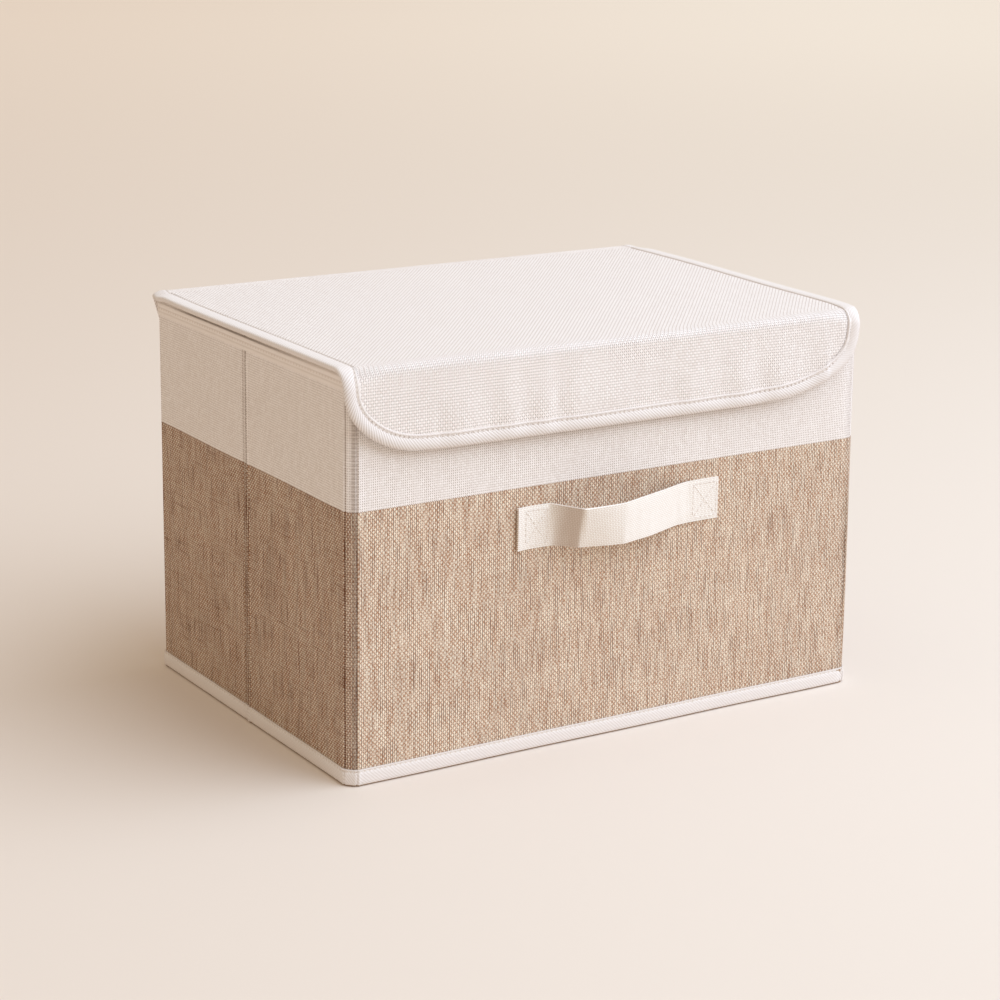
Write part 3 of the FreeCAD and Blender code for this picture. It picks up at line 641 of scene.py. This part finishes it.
# Wall stitches: one row on each side of every corner, and two rows down each side wall's crease.
# They are cream on the cream cloth, and those on the linen follow after the base tape.
seam_places = [(corner + side) % girth for corner in wall_corners[:4] for side in (-corner_row, corner_row)]
seam_places += [wall_creases[0] - row for row in crease_rows]
seam_places += [wall_creases[1] + row for row in crease_rows]
seam_heights = np.linspace(12 * mm, 240 * mm, 300)
seam_rows = [stitches(np.stack([0 * seam_heights + place, seam_heights], 1)) for place in seam_places]
upper_rows = [row[row[:, 1] > colour_line] for row in seam_rows]
lower_rows = [row[row[:, 1] <= colour_line] for row in seam_rows]
wall_stitches = sew("wall_stitches", wall_place, upper_rows, -0.3 * mm, 0.45 * mm)
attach(wall_stitches, "box")

# Base cloth: matt brown non-woven cloth under the box, its edge turned up outside the walls all round.
# It is cut as one ring of rows, from the turned-up edge down and in to the middle, where it is joined.
def pressed_fibre(name, scale, detail, dark, light, distance, strength):
    """Plain pressed fibre, speckled all through."""
    finish = Finish(name, roughness=0.95)
    x, y, z = finish.spread(finish.node("ShaderNodeTexCoord", give=3))
    speck = finish.noise(finish.gather(x, y, z), scale, detail, 0.7)
    return finish.coat(finish.blend(speck.ramp(0.3, 0.7), dark, light), speck, distance, strength)


base_brown = srgb(158, 128, 100)
base_pale = srgb(182, 152, 124)
base_material = pressed_fibre("base_non_woven", 700, 3.0, base_brown, base_pale, 0.15 * mm, 0.6)
turn_up = 9.5 * mm
base_line = places(0, girth, 6 * mm, fine=wall_turns, fine_step=1.0 * mm)
base_rows = np.array([0, 3, 6, 8.6, 9.3, 9.8, 12, 20, 40, 70, 100, 128]) * mm
base_cloth, around, down = cut("base_cloth_panel", base_line, base_rows)
base_in = np.clip(down - turn_up, 0, None)
base_height = 0.1 * mm + np.clip(turn_up - down, 0, None) + 0.25 * mm * rise(9.9 * mm, 9.3 * mm, down)
base_out = 0.6 * mm - 0.5 * mm * rise(8.5 * mm, 9.9 * mm, down)
side_x, side_y, _ = wall_place(around, base_height, base_out)
middle_line = half_depth - 11.6 * mm
base_x = side_x * (1 - base_in / half_width)
base_y = side_y * np.clip(1 - base_in / middle_line, 0, 1)
lay(base_cloth, (base_x, base_y, base_height), base_material, thickness=0.5 * mm, turned=True, joined=True)
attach(base_cloth, "box")
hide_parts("base_cloth")

# Floor lining: a flat sheet of the cream non-woven cloth on the base cloth, under the loose board.
# It fills the box from wall lining to wall lining.
floor_across = np.linspace(-186 * mm, 186 * mm, 40)
floor_along = np.linspace(-126 * mm, 126 * mm, 28)
floor_lining, flat_x, flat_y = cut("floor_lining_cloth", floor_across, floor_along)
lay(floor_lining, (flat_x, flat_y, 0 * flat_x + 1.0 * mm), lining_material, thickness=0.4 * mm)
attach(floor_lining, "box")
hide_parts("base_lining")

# Base tape: off-white twill tape, 10 mm wide, sewn over the edge of the base cloth all round the foot.
# Its section starts at the top edge, with the groove of its stitches, and ends under the box.
def twill(name, stitch_line, hole_colour, relief, ribbed=(-1, 99), sewn=99):
    """Twill tape with needle holes along its stitch line, and slanting ribs beyond it, where it is folded.
    The ribs show from one place along the tape to another, as given by ribbed, and are pulled smooth beyond.
    The holes show as far along the tape as sewn, and are fainter where the ribs start."""
    finish = Finish(name, roughness=0.85, sheen=0.05)
    across, along, _ = finish.spread(finish.node("ShaderNodeUVMap"))
    drift = (finish.noise(finish.gather(across, along), 200, 2.0) - 0.5) * 0.5
    ribs = along * 430 - across * 460 + drift
    wefts = along * 690 + across * 640 + drift
    rib = (ribs * (2 * math.pi)).sine() * 0.5 + 0.5
    weft = (wefts * (2 * math.pi)).sine() * 0.5 + 0.5
    first_rib, last_rib = ribbed
    loose = along.ramp(first_rib, first_rib + 15 * mm) * along.ramp(last_rib, last_rib + 30 * mm, 1.0, 0.0)
    outer = across.ramp(stitch_line - 0.2 * mm, stitch_line + 0.8 * mm) * (loose * (relief - 0.25)) + 0.25
    height = (rib * 0.75 + weft * 0.25 - 0.6) * outer + 0.6
    colour = finish.blend(height.ramp(0.0, 0.8), srgb(198, 186, 176), srgb(241, 235, 232))
    # The tape's inner edge is painted darker, as painted shade in the groove where it is sewn to the cloth.
    colour = finish.blend(across.ramp(0.0, 1.0 * mm, 0.35, 0.0), colour, srgb(176, 152, 132))
    holes = needle_holes(finish, across, along, stitch_line) * along.ramp(sewn, sewn + 1 * mm, 1.0, 0.0)
    holes = holes * along.ramp(first_rib + 10 * mm, first_rib + 70 * mm, 0.4, 1.0)
    colour = finish.blend(holes, colour, hole_colour)
    return finish.coat(colour, height, distance=0.2 * mm, strength=0.7)


foot_section = np.array(
    [(0.3, 10.8), (0.9, 10.6), (1.0, 10.0), (0.7, 9.4), (1.05, 8.8), (1.3, 7.6)]
    + [(1.35, 5.5), (1.3, 3.2), (1.15, 1.8), (0.8, 1.1), (0.3, 1.1)]
)
foot_section *= mm
foot_steps = walked(foot_section)
foot_tape, across, around = cut("foot_tape", foot_steps, wall_lines)
foot_out = np.interp(across, foot_steps, foot_section[:, 0])
foot_height = np.interp(across, foot_steps, foot_section[:, 1])
base_twill = twill("base_twill", foot_steps[3], srgb(222, 211, 201), 0.35)
lay(foot_tape, wall_place(around, foot_height, foot_out), base_twill, thickness=0.35 * mm)
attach(foot_tape, "box")
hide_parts("base_binding")
foot_stitches = sew("foot_stitches", wall_place, [stitches(round_wall(9.4 * mm))], 0.55 * mm, 0.5 * mm)
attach(foot_stitches, "box")

# Linen stitches: the lower part of the corner and crease rows, through the brown linen.
# They are sewn with a matching brown thread that sinks into the cloth.
brown_thread = thread("linen_thread", srgb(84, 56, 40), srgb(120, 88, 66), 0.7)
linen_stitches = sew("linen_stitches", wall_place, lower_rows, -0.3 * mm, 0.45 * mm, brown_thread)
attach(linen_stitches, "box")

# Loose base board's cover: the cream non-woven cloth, sewn tight round a flat board.
# It lies on the floor lining, and its rounded corners clear those of the rim when it is lifted out.
loose_board_middle = 3.3 * mm
loose_board_corner = 7 * mm


def flat_board(name, half, soft, material):
    """A flat block round the loose board's middle, with rounded corners and soft edges."""
    bpy.ops.object.select_all(action="DESELECT")
    bpy.ops.mesh.primitive_cube_add(size=2, location=(0, 0, loose_board_middle))
    block = bpy.context.object
    block.name = name
    block.data.name = name
    block.scale = half
    bpy.ops.object.transform_apply(location=True, rotation=True, scale=True)
    bpy.ops.object.mode_set(mode="EDIT")
    bpy.ops.mesh.select_mode(type="EDGE")
    bpy.ops.mesh.select_all(action="DESELECT")
    bpy.ops.object.mode_set(mode="OBJECT")
    corners = block.data.vertices
    for edge in block.data.edges:
        climb = corners[edge.vertices[0]].co.z - corners[edge.vertices[1]].co.z
        edge.select = abs(climb) > mm
    bpy.ops.object.mode_set(mode="EDIT")
    bpy.ops.mesh.bevel(offset=loose_board_corner, segments=6, affect="EDGES")
    bpy.ops.object.mode_set(mode="OBJECT")
    edges = block.modifiers.new("edges", "BEVEL")
    edges.width = soft
    edges.segments = 4
    edges.angle_limit = math.radians(40)
    bpy.ops.object.modifier_apply(modifier=edges.name)
    bpy.ops.object.shade_smooth_by_angle(angle=math.radians(50))
    bpy.ops.object.mode_set(mode="EDIT")
    bpy.ops.mesh.select_all(action="SELECT")
    bpy.ops.uv.cube_project(cube_size=1.0, correct_aspect=False)
    bpy.ops.object.mode_set(mode="OBJECT")
    block.data.materials.append(material)
    return block


cover_half = np.array([184.1, 124.1, 2.0]) * mm
cover = flat_board("base_board_cover_cloth", cover_half, 1.6 * mm, lining_material)
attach(cover, "base_board")
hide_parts("base_board_cover")

# Greyboard panels: plain matt board in the walls, the lid and the loose base, hidden by the cloth.
# The loose base's own board is a little smaller than its cover and has rounded corners like it.
board_grey = srgb(150, 142, 131)
board_pale = srgb(186, 178, 166)
board_material = pressed_fibre("grey_board", 400, 5.0, board_grey, board_pale, 0.1 * mm, 0.4)
side_boards = ["left_front_board", "left_rear_board", "right_front_board", "right_rear_board"]
for board_name in [*wall_boards, *side_boards, "lid_board"]:
    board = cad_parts[board_name]
    board.data.materials.clear()
    board.data.materials.append(board_material)
core_half = np.array([182.0, 122.0, 1.5]) * mm
core = flat_board("base_board_panel", core_half, 0.2 * mm, board_material)
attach(core, "base_board")
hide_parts("base_board_core")

# Lid cloth: one cream cloth over the lid board that rolls over the front edge and hangs as a waved flap.
# It is measured flat: across, and forward from the middle of the lid, over the fold and down. Its outline
# runs from the lid's back left corner round the flap. wave_dark gives where each wave turns from the light.
lid_level = 256.2 * mm
flap_plane = 136.4 * mm
front_roll = 5.0 * mm
fold_slack = 2.15 * mm
cloth_join = 120 * mm
board_edge = 128 * mm
foot_rows_start = 166.5 * mm
outline_step = 1.5 * mm
outline_points = np.array(
    [(-194.6, -120), (-195.5, -100), (-196, -70), (-196, 60), (-196, 128), (-196.6, 139.3), (-197, 148.5)]
    + [(-195.8, 156.5), (-189.3, 167.5), (-178.6, 176.5), (-165, 183.5), (-151, 186.5), (-126, 187.3)]
    + [(-20, 187.8), (95, 187.7), (130, 185.5), (151, 180.5), (169, 171.5), (178, 163.5), (182, 149.5)]
    + [(181.3, 139.3), (182.6, 131), (186.4, 122), (188.4, 108), (189.5, 80), (190.5, 0), (191.5, -60)]
    + [(192, -120)]
)
wave_dark = np.array([-128, -91, -66, -43, 42, 80, 110, 150]) * mm


def soften(line, step, window):
    """The line walked in even steps, with its corners rounded by a moving average and its ends kept."""
    steps = walked(line)
    count = int(round(steps[-1] / step))
    even = np.linspace(0, steps[-1], count + 1)
    fine = np.stack([np.interp(even, steps, line[:, k]) for k in range(line.shape[1])], 1)
    for _ in range(3):
        before = 2 * fine[0] - fine[window:0:-1]
        after = 2 * fine[-1] - fine[-2 : -window - 2 : -1]
        padded = np.concatenate([before, fine, after])
        total = np.cumsum(np.concatenate([np.zeros((1, line.shape[1])), padded]), axis=0)
        fine = (total[2 * window + 1 :] - total[: -2 * window - 1]) / (2 * window + 1)
    return fine


lid_outline = soften(outline_points * mm, outline_step, 4)
lowest = int(np.argmax(lid_outline[:, 1]))


def flap_wave(flat_x, forward):
    """How far the hanging flap bulges: soft upright ripples that fade at the fold and at the tape."""
    knots = np.sort(np.concatenate([wave_dark - 7 * mm, wave_dark + 6 * mm]))
    swell = np.interp(flat_x, knots, np.tile([0.0, 1.0], len(wave_dark)), left=0.3, right=0.3)
    fading = rise(138 * mm, 174 * mm, forward) * rise(196 * mm, 172 * mm, forward)
    return 1.5 * mm * rise(0, 1, swell) * fading


def lid_ripple(flat_x, forward):
    """How much higher or lower the cloth lies from place to place on the lid."""
    return 0.3 * mm * np.sin(flat_x * 23 + 1) * np.sin(forward * 31)


def corner_droop(flat_x, backward):
    """How far the soft corners at the back of the lid hang down beyond the board."""
    return 2.6 * mm * rise(184 * mm, 196 * mm, np.abs(flat_x)) * rise(104 * mm, 127 * mm, backward)


def panel_place(flat_x, forward, out):
    """Where a place on the flat lid cloth, or out from it, lies once it is rolled over the front fold."""
    left_end = 9 * mm * rise(-165 * mm, -196 * mm, flat_x)
    right_end = 6 * mm * rise(150 * mm, 188 * mm, flat_x)
    roll = front_roll + left_end + right_end
    start = flap_plane - roll
    end = flap_plane + roll - fold_slack
    angle = np.clip((forward - start) / (end - start), 0, 1) * math.pi / 2
    out = out + flap_wave(flat_x, forward) + lid_ripple(flat_x, forward)
    y = -np.minimum(forward, start) - (roll + out) * np.sin(angle)
    z = lid_level - roll + (roll + out) * np.cos(angle) - np.clip(forward - end, 0, None)
    return flat_x + 0 * y, y, z - corner_droop(flat_x, -forward)


def cut_between(name, left, right, inset, columns, rows):
    """Cuts a sheet a little inside two edges of an outline. Its columns are shares of its width.
    Its last rows draw closer together toward the rounded foot of the flap."""
    end = left[-1, 1] - inset
    foot_rows = end - (end - foot_rows_start) * np.linspace(1, 0, 18) ** 1.6
    sheet, share, forward = cut(name, columns, np.concatenate([rows, foot_rows]))
    low_x = np.interp(forward, left[:, 1], left[:, 0]) + inset
    high_x = np.interp(forward, right[:, 1], right[:, 0]) - inset
    return sheet, low_x + (high_x - low_x) * share, forward


def panel_sheet(name, inset, depth, material, thickness):
    """Cuts a sheet to the lid's outline and lays it at a depth below the cloth's face."""
    left, right = lid_outline[: lowest + 1], lid_outline[lowest:][::-1]
    rows = np.concatenate([places(-cloth_join, 122 * mm, 6 * mm), places(124 * mm, 165 * mm, 1.5 * mm)])
    edge_share = 0.04
    edge_columns = np.linspace(0, edge_share, 29)
    inner_columns = np.linspace(edge_share, 1 - edge_share, 111)
    columns = np.concatenate([edge_columns[:-1], inner_columns, 1 - edge_columns[-2::-1]])
    sheet, flat_x, forward = cut_between(name, left, right, inset, columns, rows)
    mark_flat(sheet, flat_x, forward)
    line = lid_outline[::2]
    away = np.min(np.hypot(flat_x[:, None] - line[:, 0], forward[:, None] - line[:, 1]), axis=1)
    # The seam mark dips the cloth beside the tape's stitches and paints shade there.
    seam_end = 140 * mm + 40 * mm * rise(100 * mm, 160 * mm, flat_x)
    seam_and_painted_shade = bump(away, 10.7 * mm, 0.6 * mm) * rise(seam_end, seam_end - 25 * mm, forward)
    seam_and_painted_shade = seam_and_painted_shade * (1 - 0.5 * rise(-100 * mm, 100 * mm, flat_x))
    sunk = depth(forward) + 0.9 * mm * seam_and_painted_shade
    lay(sheet, panel_place(flat_x, forward, -sunk), material, thickness, turned=True, seam_and_painted_shade=seam_and_painted_shade)
    return sheet


lid_weave = Finish("lid_weave", roughness=0.92, sheen=0.05)
lid_colour, lid_height, _ = weave(
    lid_weave,
    (1.40 * mm, 1.62 * mm),
    light=srgb(255, 250, 247),
    dark=srgb(222, 211, 204),
    pore=srgb(72, 46, 30),
    wander=0.25,
    slub=0.08,
    grain=0.25,
    check=0.8,
    open_weave=0.57,
    hanging=0.25,
)
lid_material = lid_weave.coat(lid_colour, lid_height, distance=0.25 * mm, strength=0.6)
lid_cloth = panel_sheet("lid_cloth_panel", 1.4 * mm, lambda forward: 0 * forward, lid_material, 0.7 * mm)
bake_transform(lid_cloth)
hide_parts("lid_cloth", "front_flap_cloth")

# Lid lining: cream non-woven cloth under the lid board and behind the flap, sewn to the cloth at the tape.
# Past the board's edge it comes up to the cloth's back.
lid_lining = panel_sheet(
    "lid_lining_cloth",
    1.6 * mm,
    lambda forward: 2.9 * mm - 2.1 * mm * rise(board_edge, 138.5 * mm, forward),
    lining_material,
    0.4 * mm,
)
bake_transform(lid_lining)
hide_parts("lid_lining", "front_flap_lining")

# Lid tape: cream twill folded round the lid's edge, down both sides of the front flap and along its bottom.
# Each section starts on the face at the stitched inner edge, goes round the outside and ends underneath.
side_section = np.array(
    [(10.6, -0.7), (10.3, -0.1), (10.1, 0.25), (9.9, 0.35), (9.6, 0.2), (9.3, -0.05)]
    + [(8.9, 0.25), (7.0, 0.35), (4.0, 0.45), (1.6, 0.4), (0.4, 0.0), (0.0, -0.9)]
    + [(0.4, -2.2), (1.8, -3.1), (4.5, -3.3), (8.0, -3.2)]
)
flap_section = np.array(
    [(10.2, -0.3), (9.9, 0.2), (9.5, 0.5), (8.9, 0.5), (8.3, 0.2), (7.9, -0.15)]
    + [(7.4, 0.15), (6.0, 0.85), (3.8, 1.25), (1.6, 0.9), (0.3, -0.1), (0.0, -1.0)]
    + [(0.6, -1.9), (2.5, -2.3), (6.0, -2.2), (10.0, -1.8)]
)
side_section *= mm
flap_section *= mm
stitch_point = 5
tape_steps = walked(flap_section)


def bind(name, outline, place, material, inner):
    """Folds a tape round the edge of a panel, and gives the line of its stitches on the flat cloth.
    inner is 1 or -1, for the side of the outline that the cloth lies on."""
    way = np.gradient(outline, axis=0)
    way /= np.linalg.norm(way, axis=1)[:, None]
    inward = np.stack([way[:, 1], -way[:, 0]], 1) * inner
    tape, across, along = cut(name, tape_steps, walked(outline))
    spot = np.rint(np.interp(along, walked(outline), np.arange(len(outline)))).astype(int)
    hang = rise(board_edge, 140 * mm, outline[spot, 1])
    step = np.rint(np.interp(across, tape_steps, np.arange(len(tape_steps)))).astype(int)
    section = side_section[step] + (flap_section[step] - side_section[step]) * hang[:, None]
    flat = outline[spot] + inward[spot] * section[:, :1]
    lay(tape, place(flat[:, 0], flat[:, 1], section[:, 1]), material, thickness=0.35 * mm)
    hang = rise(board_edge, 140 * mm, outline[:, 1])[:, None]
    side_row, flap_row = side_section[stitch_point, 0], flap_section[stitch_point, 0]
    return tape, outline + inward * (side_row + (flap_row - side_row) * hang)


outline_steps = walked(lid_outline)
ribs_start = outline_steps[np.argmax(lid_outline[:, 1] > 126 * mm)]
ribs_end = outline_steps[np.argmax(lid_outline[:, 0] > 140 * mm)]
sewn_end = outline_steps[np.argmax(lid_outline[:, 0] > 166 * mm)]
hole_brown = srgb(148, 120, 98)
lid_twill = twill("lid_twill", tape_steps[stitch_point], hole_brown, 0.65, (ribs_start, ribs_end), sewn_end)
lid_tape, lid_seam_line = bind("lid_tape_front", lid_outline, panel_place, lid_twill, 1)
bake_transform(lid_tape)
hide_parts("lid_binding_left", "lid_binding_right", "front_flap_binding")
sewn_line = lid_seam_line[outline_steps < sewn_end]
lid_stitches = sew("lid_stitches", panel_place, [stitches(sewn_line)], 0.05 * mm)
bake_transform(lid_stitches)

# Back flap: the lid's cloth and lining go on over the back edge and down the back wall, where they are sewn.
# Its outline has the front flap's rounded corners, and its tape is folded round it in the same way.
back_plane = 132.5 * mm
back_roll = 3.9 * mm
back_start = back_plane - back_roll
back_outline_points = np.array(
    [(192, 120), (191, 127), (189.5, 134), (188.5, 140), (187.5, 145.5), (186.4, 151), (184, 157)]
    + [(179, 165), (170, 174), (157, 181.5), (140, 186), (100, 186.6), (0, 187), (-100, 186.6)]
    + [(-140, 186), (-157, 181.5), (-170, 174), (-179, 165), (-184, 157), (-186.6, 151)]
    + [(-188, 145.5), (-189, 140), (-190, 135), (-191.6, 131), (-193.4, 127), (-194.6, 120)]
)
back_outline = soften(back_outline_points * mm, outline_step, 4)


def back_place(flat_x, backward, out):
    """Where a place on the flat lid cloth lies once it is rolled over the back fold, down the back wall."""
    angle = np.clip((backward - back_start) / back_roll, 0, math.pi / 2)
    drop = np.clip(backward - back_start - back_roll * math.pi / 2, 0, None)
    y = np.minimum(backward, back_start) + (back_roll + out) * np.sin(angle)
    z = lid_level - back_roll + (back_roll + out) * np.cos(angle) - drop
    z = z + rise(board_edge, 124 * mm, backward) * lid_ripple(flat_x, -backward)
    return flat_x + 0 * y, y, z - corner_droop(flat_x, backward)


def back_sheet(name, inset, depth, material, thickness):
    """Cuts a sheet to the back flap's outline and lays it over the back fold."""
    half = int(np.argmax(back_outline[:, 1]))
    right, left = back_outline[: half + 1], back_outline[half:][::-1]
    rows = places(cloth_join, 165 * mm, 1.5 * mm)
    sheet, flat_x, backward = cut_between(name, left, right, inset, np.linspace(0, 1, 141), rows)
    mark_flat(sheet, flat_x, -backward)
    lay(sheet, back_place(flat_x, backward, -depth(backward)), material, thickness)
    return sheet


back_cloth = back_sheet("back_flap_panel", 1.4 * mm, lambda backward: 0 * backward, cream_material, 0.7 * mm)
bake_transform(back_cloth)
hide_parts("back_flap_cloth")
back_lining = back_sheet(
    "back_flap_lining_cloth",
    1.6 * mm,
    lambda backward: 2.9 * mm - 2.1 * mm * rise(board_edge, 134.5 * mm, backward),
    lining_material,
    0.4 * mm,
)
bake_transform(back_lining)
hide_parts("back_flap_lining")
back_tape, back_seam_line = bind("lid_tape_back", back_outline, back_place, lid_twill, -1)
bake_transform(back_tape)
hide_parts("back_flap_binding")
back_stitches = sew("back_flap_stitches", back_place, [stitches(back_seam_line)], 0.05 * mm)
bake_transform(back_stitches)

# Handle: one strap of the cream cloth folded double, flat at its sewn ends, and bowed out between them.
# It leaves the wall steeply at its left end, kinks, and comes back in a long slope. Its foot and its top
# edge, seen from above, bow out by different amounts, so the strap is twisted.
strap_top_line = np.array(
    [(-75, -132.9), (-71, -132.2), (-66, -131.6), (-62, -131.6), (-52, -132.2), (-46.5, -143.4)]
    + [(-43.4, -149.9), (-40.4, -154.9), (-32, -155.2), (-20, -155.1), (-10, -154.2), (10.7, -146.9)]
    + [(30, -140.2), (50.5, -132.4), (62, -131.6), (76, -131.5)]
)
strap_foot_line = np.array(
    [(-75, -132.9), (-71, -132.2), (-66, -131.6), (-60, -131.5), (-49, -132.0), (-42, -138.4)]
    + [(-40.3, -141.5), (-38.4, -143.9), (-31, -145.3), (-20, -148.6), (-9, -150.6), (15.7, -144.0)]
    + [(42.3, -133.4), (52, -131.9), (62, -131.5), (76, -131.5)]
)
strap_top = soften(strap_top_line * mm, 0.5 * mm, 1)
strap_foot = soften(strap_foot_line * mm, 0.5 * mm, 1)
strap_low = 131 * mm
strap_high = 158 * mm
strap_width = strap_high - strap_low
handle_weave = Finish("handle_weave", roughness=0.9, sheen=0.05)
handle_colour, handle_height, _ = weave(
    handle_weave,
    (1.15 * mm, 1.25 * mm),
    light=srgb(255, 253, 249),
    dark=srgb(238, 229, 219),
    pore=srgb(176, 150, 126),
    wander=0.2,
    slub=0.05,
    grain=0.15,
    check=0.35,
    sunk=0.05,
)
# The strap's steep side, where it leaves the wall, is painted darker and tan: painted shade.
steep_side_shade = handle_weave.node("ShaderNodeAttribute", {"attribute_name": "steep_side_shade"}, give=2)
handle_colour = handle_weave.blend(steep_side_shade * 0.45, handle_colour, srgb(148, 108, 68))
handle_material = handle_weave.coat(handle_colour, handle_height, distance=0.15 * mm, strength=0.5)
strap_length = walked(strap_top)[-1]
strap_lines = np.linspace(0, strap_length, 260)
strap, along, upward = cut("handle_strap", strap_lines, np.linspace(0, strap_width, 15))
share = along / strap_length
lift = upward / strap_width
edge_x, edge_y = [], []
for line in (strap_foot, strap_top):
    reach = walked(line) / walked(line)[-1]
    edge_x.append(np.interp(share, reach, line[:, 0]))
    edge_y.append(np.interp(share, reach, line[:, 1]))
soft_edge = 0.25 * mm * (2 * lift - 1) ** 8
strap_x = edge_x[0] + (edge_x[1] - edge_x[0]) * lift
strap_y = edge_y[0] + (edge_y[1] - edge_y[0]) * lift + soft_edge
kink = np.interp(lift, [0, 1], [-37.6 * mm, -40.6 * mm])
# This marks the strap's steep side for its painted shade.
strap.data.attributes.new("steep_side_shade", "FLOAT", "POINT")
steep_side_shade_mask = rise(-53 * mm, -45 * mm, strap_x) * rise(kink + 0.4 * mm, kink - 1.6 * mm, strap_x)
strap.data.attributes["steep_side_shade"].data.foreach_set("value", steep_side_shade_mask)
lay(strap, (strap_x, strap_y, strap_low + upward), handle_material, thickness=1.3 * mm)
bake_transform(strap)
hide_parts("handle_left_end", "handle_loop", "handle_right_end")


def strap_place(x, height, out):
    """A point on the face of the strap's sewn ends."""
    low_y = np.interp(x, strap_foot[:, 0], strap_foot[:, 1])
    high_y = np.interp(x, strap_top[:, 0], strap_top[:, 1])
    return x + 0 * height, low_y + (high_y - low_y) * (height - strap_low) / strap_width - out, height


patch_low = strap_low + 2.6 * mm
patch_high = strap_high - 2.6 * mm
patch_rows = []
for patch_left, patch_right in ((-69.0 * mm, -53.6 * mm), (56.3 * mm, 74.6 * mm)):
    low_left, low_right = (patch_left, patch_low), (patch_right, patch_low)
    high_left, high_right = (patch_left, patch_high), (patch_right, patch_high)
    square = [low_left, high_left, high_right, low_right, low_left]
    for line in (square, [low_left, high_right], [high_left, low_right]):
        patch_rows.append(stitches(np.array(line)))
handle_stitches = sew("handle_stitches", strap_place, patch_rows, 0.1 * mm)
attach(handle_stitches, "box")
